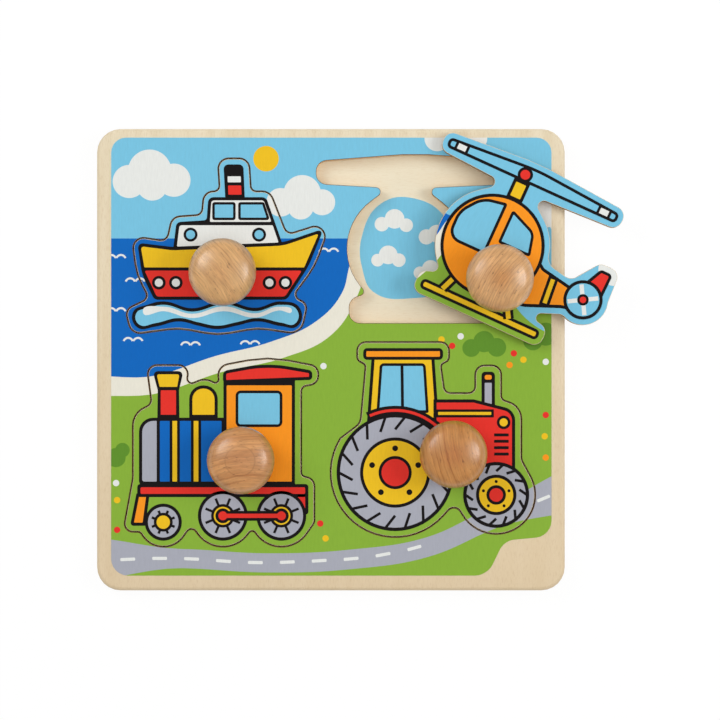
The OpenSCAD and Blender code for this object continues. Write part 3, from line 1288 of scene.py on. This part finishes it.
@dataclass
class Knob:
    """A knob turned from solid beech: flared foot, narrow waist, full shoulder and flattened crown."""

    name: str
    body: str
    axis: Point
    seat: float
    wood: TurnedBeech
    radius: float = 15.75
    height: float = 24.0
    crown: float = 30.0
    shoulder: float = 7.5
    foot: float = 10.0
    foot_round: float = 0.8
    waist: float = 8.5
    waist_height: float = 3.5
    underside: float = -50.0

    def profile(self, bm: bmesh.types.BMesh) -> None:
        """Draws half of the knob's section in the XZ plane, arc by arc.

        Args:
            bm: An empty mesh.
        """
        shoulder_x = self.radius - self.shoulder
        crown_z = self.height - self.crown
        shoulder_z = crown_z + math.sqrt((self.crown - self.shoulder) ** 2 - shoulder_x**2)
        crown_from = math.degrees(math.atan2(shoulder_z - crown_z, shoulder_x))
        tip = self.line(bm, None, (0, 0))
        tip = self.line(bm, tip, (self.foot - self.foot_round, 0))
        tip = self.arc(bm, tip, (self.foot - self.foot_round, self.foot_round), 90, 6)
        tip = self.line(bm, tip, (self.waist, self.waist_height))
        tip = self.line(bm, tip, out_from((shoulder_x, shoulder_z), self.shoulder, self.underside))
        tip = self.arc(bm, tip, (shoulder_x, shoulder_z), crown_from - self.underside, 28)
        self.arc(bm, tip, (0, crown_z), 90 - crown_from, 16)

    def line(self, bm: bmesh.types.BMesh, tip: bmesh.types.BMVert | None, to: Point) -> bmesh.types.BMVert:
        """Draws a straight stretch of the section.

        Args:
            bm: The mesh.
            tip: Where the stretch starts, or None for the first point.
            to: Where it ends: radius and height, in millimetres.

        Returns:
            The new tip.
        """
        end = bm.verts.new((to[0] * MM, 0, to[1] * MM))
        if tip is not None:
            bm.edges.new((tip, end))
        return end

    def arc(
        self, bm: bmesh.types.BMesh, tip: bmesh.types.BMVert, centre: Point, angle: float, steps: int
    ) -> bmesh.types.BMVert:
        """Draws a round stretch of the section by spinning its tip.

        Args:
            bm: The mesh.
            tip: Where the stretch starts.
            centre: The arc's centre: radius and height, in millimetres.
            angle: The arc's angle, counter-clockwise, in degrees.
            steps: How many edges it has.

        Returns:
            The new tip.
        """
        middle = (centre[0] * MM, 0, centre[1] * MM)
        swing = math.radians(angle)
        spun = bmesh.ops.spin(bm, geom=[tip], cent=middle, axis=(0, -1, 0), angle=swing, steps=steps)
        return next(g for g in spun["geom_last"] if isinstance(g, bmesh.types.BMVert))

    def build(self) -> None:
        """Turns the section around the axis, dresses the knob and lets it ride its piece."""
        bm = bmesh.new()
        self.profile(bm)
        bmesh.ops.spin(
            bm,
            geom=bm.verts[:] + bm.edges[:],
            cent=(0, 0, 0),
            axis=(0, 0, 1),
            angle=math.tau,
            steps=96,
            use_merge=True,
        )
        bmesh.ops.remove_doubles(bm, verts=bm.verts, dist=CAD_WELD)
        bmesh.ops.recalc_face_normals(bm, faces=bm.faces)
        bmesh.ops.translate(bm, verts=bm.verts, vec=(self.axis[0] * MM, self.axis[1] * MM, self.seat * MM))
        made = place_object(f"{self.name}_wood", bm, [self.wood.material()])
        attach(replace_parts(made, self.name), self.body)
        LOG.info("%s: %d faces", made.name, len(made.data.polygons))


@dataclass
class Vehicle:
    """A sawn, printed piece with its knob and screw. The drawing is made around the knob's axis."""

    body: str
    home: Point
    billet: Billet
    at: Point | None = None
    turn: float = 0.0
    underside: float = 3.0
    sheet_t: float = 6.0
    home_top: float = 9.0
    round_over: float = 0.08
    first_layer: int = 8

    def drawing(self) -> list[Mark]:
        """Gives the marks of the vehicle; each kind of vehicle has its own."""
        return []

    def moved(self) -> Matrix:
        """Gives the move from the piece's recess to where it lies.

        Returns:
            The move, in metres.
        """
        at = self.at or self.home
        lift = self.underside + self.sheet_t - self.home_top
        to_place = Matrix.Translation((at[0] * MM, at[1] * MM, lift * MM))
        turned = Matrix.Rotation(math.radians(self.turn), 4, "Z")
        return to_place @ turned @ Matrix.Translation((-self.home[0] * MM, -self.home[1] * MM, 0))

    def wood(self, nodes: Nodes) -> None:
        """Makes the sawn piece.

        Args:
            nodes: The CAD nodes by name.
        """
        name = f"{self.body}_piece"
        face = BirchFace(f"birch_plywood_sanded_face_{self.body}", turn=self.turn).material()
        edge = PlywoodEdge(f"birch_plywood_sawn_edge_{self.body}", self.underside, PLY_MM).material()
        piece = dress_sheet(name, nodes[name], (face, edge), self.round_over)
        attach(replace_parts(piece, name), self.body)

    def printing(self, nodes: Nodes, landscape: Landscape) -> None:
        """Prints the background on the piece's margin and the vehicle over it.

        Args:
            nodes: The CAD nodes by name.
            landscape: The background, shared with the tray.
        """
        move = self.moved()
        top = top_face(nodes[f"{self.body}_piece"], 0)
        bmesh.ops.transform(top, matrix=move.inverted(), verts=top.verts)
        raise_flat(top, self.home_top, 1)
        sheet = Print(f"{self.body}_print", self.body, f"{self.body}_print", self.home_top, self.turn)
        sheet.lay(Ink.SKY, 0, top.copy())
        sheet.draw(landscape.marks(), top)
        marks = (Mark(m.ink, m.layer + self.first_layer, m.shape) for m in self.drawing())
        sheet.draw(marks, top, self.home)
        top.free()
        sheet.finish(move)

    def knob(self) -> None:
        """Makes the piece's knob."""
        axis = self.at or self.home
        wood = TurnedBeech(f"beech_turned_lacquered_{self.body}", axis, self.billet)
        Knob(f"{self.body}_knob", self.body, axis, self.underside + self.sheet_t, wood).build()

    def build(self, nodes: Nodes, landscape: Landscape, steel: bpy.types.Material) -> None:
        """Makes the piece, its print and its knob, and dresses its screw.

        Args:
            nodes: The CAD nodes by name.
            landscape: The background, shared with the tray.
            steel: The screw's finish.
        """
        self.wood(nodes)
        self.printing(nodes, landscape)
        self.knob()
        screw = nodes[f"{self.body}_screw"]
        screw.data.materials.clear()
        screw.data.materials.append(steel)


@dataclass
class Boat(Vehicle):
    """A steam boat with a two-step cabin, portholes and a banded funnel."""

    cabin_lights: tuple[float, ...] = (-15.6, 16.6)
    portholes: tuple[float, ...] = (-30.5, -22.5, 21.5, 29)

    def upper_works(self) -> list[Mark]:
        """Gives the funnel and the cabin with its windows.

        Returns:
            Their marks.
        """
        funnel = ((0.8, 34, 0), (9.9, 34, 0), (9.2, 51, 2.2), (-0.1, 51, 2.2))
        red_band = ((2.2, 36.8, 0.3), (8.4, 36.8, 0.3), (8.2, 41.1, 0.3), (2, 41.1, 0.3))
        white_band = ((1.9, 42.6, 0.3), (8.1, 42.6, 0.3), (8, 45.4, 0.3), (1.8, 45.4, 0.3))
        cabin = (
            (-23.8, 11, 0), (27.8, 13, 0), (19.9, 35.6, 2.6),
            (-7.2, 35.6, 2.6), (-8, 24.8, 1.4), (-22.2, 23.9, 2.4),
        )
        deck = ((-22, 12.4, 0.5), (25.8, 14.3, 0.5), (23, 22.4, 0.5), (-20.8, 22.4, 1.2))
        bridge = ((-6.5, 24, 0.5), (22.4, 24, 0.5), (18.8, 34.1, 1.4), (-5.8, 34.1, 1.4))
        bow_window = ((6.8, 24.8, 1.2), (21.8, 24.8, 1.2), (19, 33.3, 1.2), (6.8, 33.3, 1.2))
        marks = [
            Mark(Ink.BLACK, 0, Rounded(funnel)),
            Mark(Ink.RED, 1, Rounded(red_band)),
            Mark(Ink.WHITE, 1, Rounded(white_band)),
            Mark(Ink.BLACK, 0, Rounded(cabin)),
            Mark(Ink.WHITE, 1, Rounded(deck)),
            Mark(Ink.WHITE, 1, Rounded(bridge)),
            *inked(Ink.SKY, 2, box(-5.4, 24.8, 5.6, 33.3, 1.2), 1.2),
            *inked(Ink.SKY, 2, Rounded(bow_window), 1.2),
        ]
        for x in self.cabin_lights:
            marks += inked(Ink.SKY, 2, Disc(x, 18, 3.3), 1.2)
        return marks

    def hull(self) -> list[Mark]:
        """Gives the two-coloured hull with its portholes.

        Returns:
            The hull's marks.
        """
        side = (
            (-40.6, 14.2, 2.2), (-38.4, -1, 24), (-32.6, -12.6, 2.5), (29.6, -12.6, 3),
            (39.9, 3.2, 34), (47, 20.8, 1.6), (28, 14.4, 20), (-24, 12.2, 20),
        )
        lower = ((-37.2, 1.1, 0.6), (-31.5, -11.1, 1.6), (28.8, -11.1, 2), (36.8, 1.1, 0.6))
        upper = (
            (-37.3, 2.6, 0.5), (37.8, 2.6, 0.5), (44.7, 18.5, 0.6),
            (28, 12.8, 20), (-24, 10.6, 20), (-39, 12.5, 1.2),
        )
        marks = [
            Mark(Ink.BLACK, 3, Rounded(side)),
            Mark(Ink.RED, 4, Rounded(lower)),
            Mark(Ink.YELLOW, 4, Rounded(upper)),
        ]
        for x in self.portholes:
            marks += inked(Ink.WHITE, 5, Disc(x, -4.6, 3.2), 1.3)
        return marks

    def bow_wave(self) -> list[Mark]:
        """Gives the water under the hull and its foam.

        Returns:
            The water's marks.
        """
        underside = (
            (-40.6, -25.6), (-32, -25.2), (-21, -22.8), (-12, -24.8),
            (-3, -26.4), (6, -24.8), (16, -22.8), (27, -25),
        )
        crest = (
            (34.6, -25), (35.8, -16.6), (27, -13.4), (15, -16.4), (0, -13.2), (-15, -16.6), (-28, -13.4),
            (-36, -15), (-42.6, -18.4),
        )
        foam_top = ((32, -18), (26, -15.9), (15, -19), (0, -15.7), (-15, -19.2), (-28, -15.9), (-38, -18.3))
        foam_foot = ((-28, -18), (-15, -21.2), (0, -18), (15, -21), (26, -17.6))
        water = inked(Ink.SKY, 5, Smooth(underside + crest), 1.6)
        return water + [Mark(Ink.WHITE, 7, Smooth(foam_top + foam_foot))]

    def drawing(self) -> list[Mark]:
        """Gives the boat and the water under it."""
        return self.upper_works() + self.hull() + self.bow_wave()


@dataclass
class Locomotive(Vehicle):
    """A tank locomotive with a flared chimney, a dome, a roofed cab and three wheels on a side."""

    lead: Corner = (-37, -29.5, 8.7)
    drivers: tuple[Corner, Corner] = ((-9, -26.5, 11.7), (18.5, -26.5, 11.7))
    bands: tuple[float, ...] = (-31.6, -21.6)

    def wheel(self, spec: Corner) -> list[Mark]:
        """Gives a spoked wheel.

        Args:
            spec: The wheel's centre and radius.

        Returns:
            The wheel's marks.
        """
        x, y, r = spec
        hub = 0.36 * r
        marks = inked(Ink.GREY, 4, Disc(x, y, r)) + inked(Ink.YELLOW, 7, Disc(x, y, hub + 1.3), 1.3)
        for k in range(8):
            angle = 45 * k + 22.5
            spoke = bar(out_from((x, y), hub + 0.8, angle), out_from((x, y), r - 2.9, angle), 1.2)
            marks.append(Mark(Ink.BLACK, 6, spoke))
        return marks

    def running_gear(self) -> list[Mark]:
        """Gives the frame, the pilot, the wheels and the coupling rod.

        Returns:
            Their marks.
        """
        pilot = ((-52.6, -31.2, 1.4), (-45.4, -31.2, 0.6), (-43.4, -16, 0.3), (-49.6, -16, 0.3))
        start, end = (centre[:2] for centre in self.drivers)
        marks = [
            *inked(Ink.ORANGE, 2, Rounded(pilot)),
            *inked(Ink.RED, 2, box(24.6, -25.8, 31.2, -15, 1.2)),
            Mark(Ink.BLACK, 3, box(-49.2, -17.7, 31.2, -11.6, 1.4)),
            Mark(Ink.RED, 4, box(-47.7, -16.2, 29.7, -13.1, 0.6)),
            *inked(Ink.RED, 9, bar(start, end, 4.6, 2.2), 1.3),
        ]
        for spec in (self.lead, *self.drivers):
            marks += self.wheel(spec)
        for x, y in (start, end):
            marks += inked(Ink.RED, 9, Disc(x, y, 3.5), 1.4)
        return marks

    def boiler(self) -> list[Mark]:
        """Gives the banded boiler with its chimney and dome.

        Returns:
            Their marks.
        """
        stack = (
            (-39.8, 18, 0), (-29.4, 18, 0), (-29.6, 32.6, 0.5),
            (-27.5, 41.5, 2), (-42, 41.5, 2), (-39.6, 32.6, 0.5),
        )
        cap = ((-38.7, 34.1, 0.3), (-30.5, 34.1, 0.3), (-29.4, 40, 0.9), (-40.1, 40, 0.9))
        dome = ((-24.8, 18, 0), (-11.4, 18, 0), (-11.4, 34.8, 6.4), (-24.8, 34.8, 6.4))
        dome_skin = ((-23.3, 21, 0.3), (-12.9, 21, 0.3), (-12.9, 33.3, 5), (-23.3, 33.3, 5))
        drum = ((-48.4, -13, 3), (-8, -13, 0), (-8, 19.6, 0), (-48.4, 19.6, 6.6))
        smokebox = ((-46.9, -10.4, 1), (-40.1, -10.4, 0.3), (-40.1, 18.1, 0.3), (-46.9, 18.1, 5.2))
        marks = [
            Mark(Ink.BLACK, 0, Rounded(stack)),
            Mark(Ink.RED, 1, box(-38.2, 21, -31, 32.5, 0.3)),
            Mark(Ink.YELLOW, 1, Rounded(cap)),
            Mark(Ink.BLACK, 0, Rounded(dome)),
            Mark(Ink.YELLOW, 1, Rounded(dome_skin)),
            Mark(Ink.BLACK, 2, Rounded(drum)),
            Mark(Ink.GREY, 3, Rounded(smokebox)),
            Mark(Ink.SEA, 3, box(-38.6, -10.4, -9.6, 18.1, 0.4)),
        ]
        for x in self.bands:
            marks += [
                Mark(Ink.BLACK, 4, box(x - 2.4, -10.6, x + 2.4, 18.3)),
                Mark(Ink.YELLOW, 5, box(x - 1.1, -10.4, x + 1.1, 18.1, 0.2)),
            ]
        return marks

    def cab(self) -> list[Mark]:
        """Gives the cab with its window and roof.

        Returns:
            Their marks.
        """
        roof = ((-8.9, 35.8, 1.6), (33, 37.4, 1.6), (33, 41.8, 2), (12, 45.4, 50), (-8.9, 41.6, 2.4))
        return [
            Mark(Ink.BLACK, 2, box(-8.7, -13, 24.9, 38)),
            Mark(Ink.ORANGE, 3, box(-7.2, -10.4, 23.4, 34.8, 0.4)),
            *inked(Ink.SKY, 4, box(-3, 15.2, 19, 32.4, 2.4), 1.3),
            *inked(Ink.RED, 4, Rounded(roof)),
        ]

    def drawing(self) -> list[Mark]:
        """Gives the locomotive."""
        return self.boiler() + self.cab() + self.running_gear()


@dataclass
class Tractor(Vehicle):
    """A farm tractor with a large lugged rear tyre, a roofed cab, a grille and an exhaust."""

    rear: Corner = (-27, -9, 27.5)
    front: Corner = (20.5, -19.5, 15.5)

    def wheel(self, spec: Corner, rim: float, hub: float, lugs: int) -> list[Mark]:
        """Gives a wheel with a lugged tyre.

        Args:
            spec: The wheel's centre and radius.
            rim: The rim's radius.
            hub: The hub's radius.
            lugs: How many lugs the tyre has.

        Returns:
            The wheel's marks.
        """
        x, y, r = spec
        marks = [
            *inked(Ink.GREY, 5, Disc(x, y, r), 1.6),
            *inked(Ink.YELLOW, 8, Disc(x, y, rim + 1.5)),
            *inked(Ink.RED, 10, Disc(x, y, hub + 1.4), 1.4),
        ]
        for k in range(lugs):
            outer = out_from((x, y), r - 1, 360 * k / lugs)
            inner = out_from((x, y), rim + 0.42 * (r - rim), 360 * (k + 0.5) / lugs)
            marks.append(Mark(Ink.BLACK, 7, bar(inner, outer, 1.3)))
        for k in range(5):
            bolt = out_from((x, y), 0.5 * (rim + hub + 1.4), 72 * k + 18)
            marks.append(Mark(Ink.BLACK, 10, Disc(*bolt, 0.09 * rim)))
        return marks

    def cab(self) -> list[Mark]:
        """Gives the cab with its windows and roof, and the exhaust.

        Returns:
            Their marks.
        """
        house = ((-40.3, 14, 0), (-6.4, 14, 0), (-8.6, 46, 0), (-38, 46, 0))
        pane = ((-35.8, 19, 0.8), (-11.2, 19, 0.8), (-12.7, 42.4, 2), (-34.2, 42.4, 2))
        return [
            Mark(Ink.BLACK, 0, box(13.6, 20, 19.9, 38.4, 1.8)),
            Mark(Ink.GREY, 1, box(15.1, 22, 18.4, 33.2, 0.3)),
            Mark(Ink.ORANGE, 1, box(15.1, 34.7, 18.4, 36.9, 0.9)),
            *inked(Ink.YELLOW, 0, Rounded(house)),
            *inked(Ink.SKY, 2, Rounded(pane), 1.3),
            Mark(Ink.BLACK, 4, bar((-23.5, 19.5), (-23.8, 42), 1.4)),
            *inked(Ink.ORANGE, 2, box(-42, 44, -4.5, 49.5, 1.9), 1.45),
        ]

    def bonnet(self) -> list[Mark]:
        """Gives the bonnet with its stripe, lamp and grille, and the mudguard.

        Returns:
            Their marks.
        """
        cowl = ((-9, -12, 0), (29.4, -12, 1), (29.4, 20.4, 6), (10, 25.4, 3), (-9, 25.4, 0))
        x, y, r = self.rear
        return [
            *inked(Ink.RED, 2, Rounded(cowl)),
            *inked(Ink.YELLOW, 4, box(-8, 16.9, 19.4, 20.7, 0.2), 1.2),
            *inked(Ink.YELLOW, 4, Disc(24, 14.6, 3.2), 1.3),
            *(Mark(Ink.BLACK, 4, box(19.5, low, 26.4, low + 1.4, 0.3)) for low in (-1, 2, 5, 8)),
            Mark(Ink.BLACK, 4, Arch(x, y, r - 0.5, r + 3.9, 8, 116)),
            Mark(Ink.RED, 5, Arch(x, y, r + 1.1, r + 2.4, 10, 114)),
        ]

    def drawing(self) -> list[Mark]:
        """Gives the tractor."""
        wheels = self.wheel(self.rear, 15, 6.4, 18) + self.wheel(self.front, 8, 3.2, 14)
        return self.cab() + self.bonnet() + wheels


@dataclass
class Helicopter(Vehicle):
    """A light helicopter with a bubble window, a two-blade rotor, a tail rotor and a skid."""

    cabin: Corner = (-9, 13, 24.4)
    tail: Corner = (40, 7.5, 9.2)

    def rotor(self) -> list[Mark]:
        """Gives the mast and the rotor with its white tips.

        Returns:
            Their marks.
        """
        blade = ((-48, 46.2, 2.2), (39, 46.2, 2.2), (39, 51.2, 2.2), (-4.5, 54.4, 80), (-48, 51.2, 2.2))
        marks = [
            Mark(Ink.BLACK, 0, box(-12.8, 35, -4.8, 47.5)),
            Mark(Ink.YELLOW, 1, box(-11.3, 38, -6.3, 45, 0.3)),
            *inked(Ink.SKY, 2, Rounded(blade), 1.4),
            *inked(Ink.RED, 5, Disc(-8.8, 49.6, 3.6), 1.3),
        ]
        for tip in (-41, 32):
            marks += [
                Mark(Ink.BLACK, 4, box(tip - 3.4, 46.6, tip + 3.4, 51.4)),
                Mark(Ink.WHITE, 5, box(tip - 2.1, 47.6, tip + 2.1, 50.3)),
            ]
        return marks

    def boom(self) -> list[Mark]:
        """Gives the tail boom with its fin, stripe and rotor.

        Returns:
            Their marks.
        """
        x, y, r = self.tail
        beam = (
            (6, -9, 0), (16.6, -6.8, 1), (32, -0.4, 1), (42, 2, 0),
            (42, 13, 0), (31.6, 10.9, 3), (17.4, 13.4, 2), (8, 20, 0),
        )
        fin = ((36, 12, 0), (47.6, 10, 0), (48, 23.9, 2.1), (41.8, 23.9, 2.1))
        blades = (bar((x, y), out_from((x, y), r - 2, 90 * k + 30), 2) for k in range(4))
        return [
            *inked(Ink.RED, 0, Rounded(fin), 1.4),
            *inked(Ink.ORANGE, 2, Rounded(beam)),
            Mark(Ink.BLACK, 4, bar((24.4, -2.6), (23.2, 11.6), 4.8)),
            Mark(Ink.YELLOW, 5, bar((24.3, -1.4), (23.3, 10.4), 2)),
            *inked(Ink.SKY, 5, Disc(x, y, r)),
            *(Mark(Ink.WHITE, 7, blade) for blade in blades),
            *inked(Ink.RED, 8, Disc(x, y, 2.7), 1.2),
        ]

    def body_work(self) -> list[Mark]:
        """Gives the cabin with its windows, and the skid on its legs.

        Returns:
            Their marks.
        """
        bubble = ((-10.6, 34, 1.2), (-22.6, 31.8, 11), (-30.4, 21.6, 11), (-30.2, 7.6, 6), (-10.6, 7.6, 1))
        door = ((-7.4, 15.4, 1.2), (9.2, 15.4, 1.2), (6.4, 26.6, 5), (-7.4, 32.4, 1.2))
        marks = inked(Ink.YELLOW, 0, box(-32.4, -19, 28, -14, 2.2), 1.4)
        for foot, hip in (((-22, -15), (-18, -5)), ((12, -15), (6, -5))):
            marks += [Mark(Ink.BLACK, 1, bar(foot, hip, 5)), Mark(Ink.YELLOW, 2, bar(foot, hip, 2.2))]
        return marks + [
            *inked(Ink.ORANGE, 5, Disc(*self.cabin)),
            *inked(Ink.SKY, 7, Rounded(bubble), 1.4),
            *inked(Ink.SKY, 7, Rounded(door), 1.3),
        ]

    def drawing(self) -> list[Mark]:
        """Gives the helicopter."""
        return self.rotor() + self.boom() + self.body_work()


@dataclass(frozen=True)
class SoftBox:
    """A square lamp that points at the tray: its place and side in metres, its power in watts."""

    name: str
    at: tuple[float, float, float]
    size: float
    watts: float
    in_gloss: bool = True

    def hang(self, towards: Vector) -> None:
        """Hangs the lamp.

        Args:
            towards: The point it shines at, in metres.
        """
        lamp = bpy.data.lights.new(self.name, "AREA")
        lamp.shape, lamp.size, lamp.energy = "SQUARE", self.size, self.watts
        hung = bpy.data.objects.new(self.name, lamp)
        hung.location = self.at
        hung.rotation_euler = (towards - Vector(self.at)).to_track_quat("-Z", "Y").to_euler()
        hung.visible_glossy = self.in_gloss
        bpy.context.scene.collection.objects.link(hung)


@dataclass
class Studio:
    """The white floor, the soft lights and the camera above the tray."""

    middle: Point = (13.68, -0.14)
    tray_top: float = 9.0
    distance: float = 1400.0
    field: float = 338.5
    sensor: float = 36.0
    paper: str = "#F4F4F4"
    floor_glow: float = 0.93
    floor_white: float = 1.012
    room: float = 0.4
    soft_boxes: tuple[SoftBox, ...] = (
        SoftBox("key_soft_box", (-1.0, 0.7, 1.08), 0.75, 8.2),
        SoftBox("right_soft_box", (1.06, 0.1, 0.98), 0.6, 6.9),
        SoftBox("frontal_soft_box", (0.0, 0.0, 1.6), 1.0, 5.4, in_gloss=False),
    )

    def floor(self) -> None:
        """Makes the white floor, which keeps a faint shadow of the tray."""
        material, tree, shader = new_material("studio_paper_white")
        # Paper under full light: the eye sees plain white, a little greyer close to the tray.
        wire(tree, shader, {"Base Color": linear(self.paper), "Roughness": 0.9}, {})
        path = add_node(tree, "LightPath").outputs
        seen: Source = path["Is Camera Ray"]
        for kind in ("Is Glossy Ray", "Is Transmission Ray"):
            seen = add_node(tree, "Math", {"operation": "MAXIMUM"}, {0: seen, 1: path[kind]})
        share = add_node(tree, "Math", {"operation": "MULTIPLY", 1: self.floor_glow}, {0: seen})
        glow = add_node(tree, "Emission", {"Strength": self.floor_white})
        both = add_node(tree, "MixShader", {}, {0: share, 1: shader, 2: glow})
        wire(tree, tree.nodes["Material Output"], {}, {"Surface": both})
        bm = bmesh.new()
        bmesh.ops.create_grid(bm, x_segments=1, y_segments=1, size=3.0)
        place_object("studio_floor", bm, [material])

    def lights(self) -> None:
        """Hangs the soft boxes and sets the even light of the room."""
        for box_light in self.soft_boxes:
            box_light.hang(Vector((0, 0, self.tray_top * MM)))
        world = bpy.data.worlds.new("studio_room")
        world.use_nodes = True
        room = world.node_tree.nodes["Background"].inputs
        room["Color"].default_value = linear("#FFFFFF")
        room["Strength"].default_value = self.room
        bpy.context.scene.world = world

    def camera(self) -> None:
        """Sets the camera straight above the tray with a long lens."""
        lens = bpy.data.cameras.new("camera")
        lens.sensor_width = self.sensor
        lens.lens = self.sensor * self.distance / self.field
        lens.clip_start, lens.clip_end = 0.05, 20
        seat = bpy.data.objects.new("camera", lens)
        seat.location = (self.middle[0] * MM, self.middle[1] * MM, (self.tray_top + self.distance) * MM)
        bpy.context.scene.collection.objects.link(seat)
        bpy.context.scene.camera = seat

    def build(self) -> None:
        """Sets up the studio."""
        self.floor()
        self.lights()
        self.camera()
        bpy.context.scene.view_settings.view_transform = "Standard"


def main() -> None:
    """Builds the tray, the pieces and the studio."""
    logging.basicConfig(level=logging.INFO, format="%(name)s: %(message)s")
    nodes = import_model()["nodes"]
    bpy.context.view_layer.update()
    landscape = Landscape()
    Tray().build(nodes, landscape)
    loose = {"at": (78.52, 37.777), "turn": -24.5, "underside": 9.0}
    vehicles = (
        Boat("boat", (-50.38, 40.796), Billet((-62, -48), 1.06, 0.945, 0.51, painted_middle_shade=0.45)),
        Locomotive("train", (-41.8, -46.872), Billet((6, -58), 0.957, 1.03, 0.498, 2.4, 0.3, 0.25)),
        Tractor("tractor", (57.2, -44.051), Billet((70, 17), 0.87, 1.09, 0.498, 2.2)),
        Helicopter("helicopter", (44.22, 39.277), Billet((44, -30), 1.09, 0.95, 0.507), **loose),
    )
    steel = ZincSteel().material()
    for vehicle in vehicles:
        vehicle.build(nodes, landscape, steel)
    Studio().build()


if __name__ == "__main__":
    main()
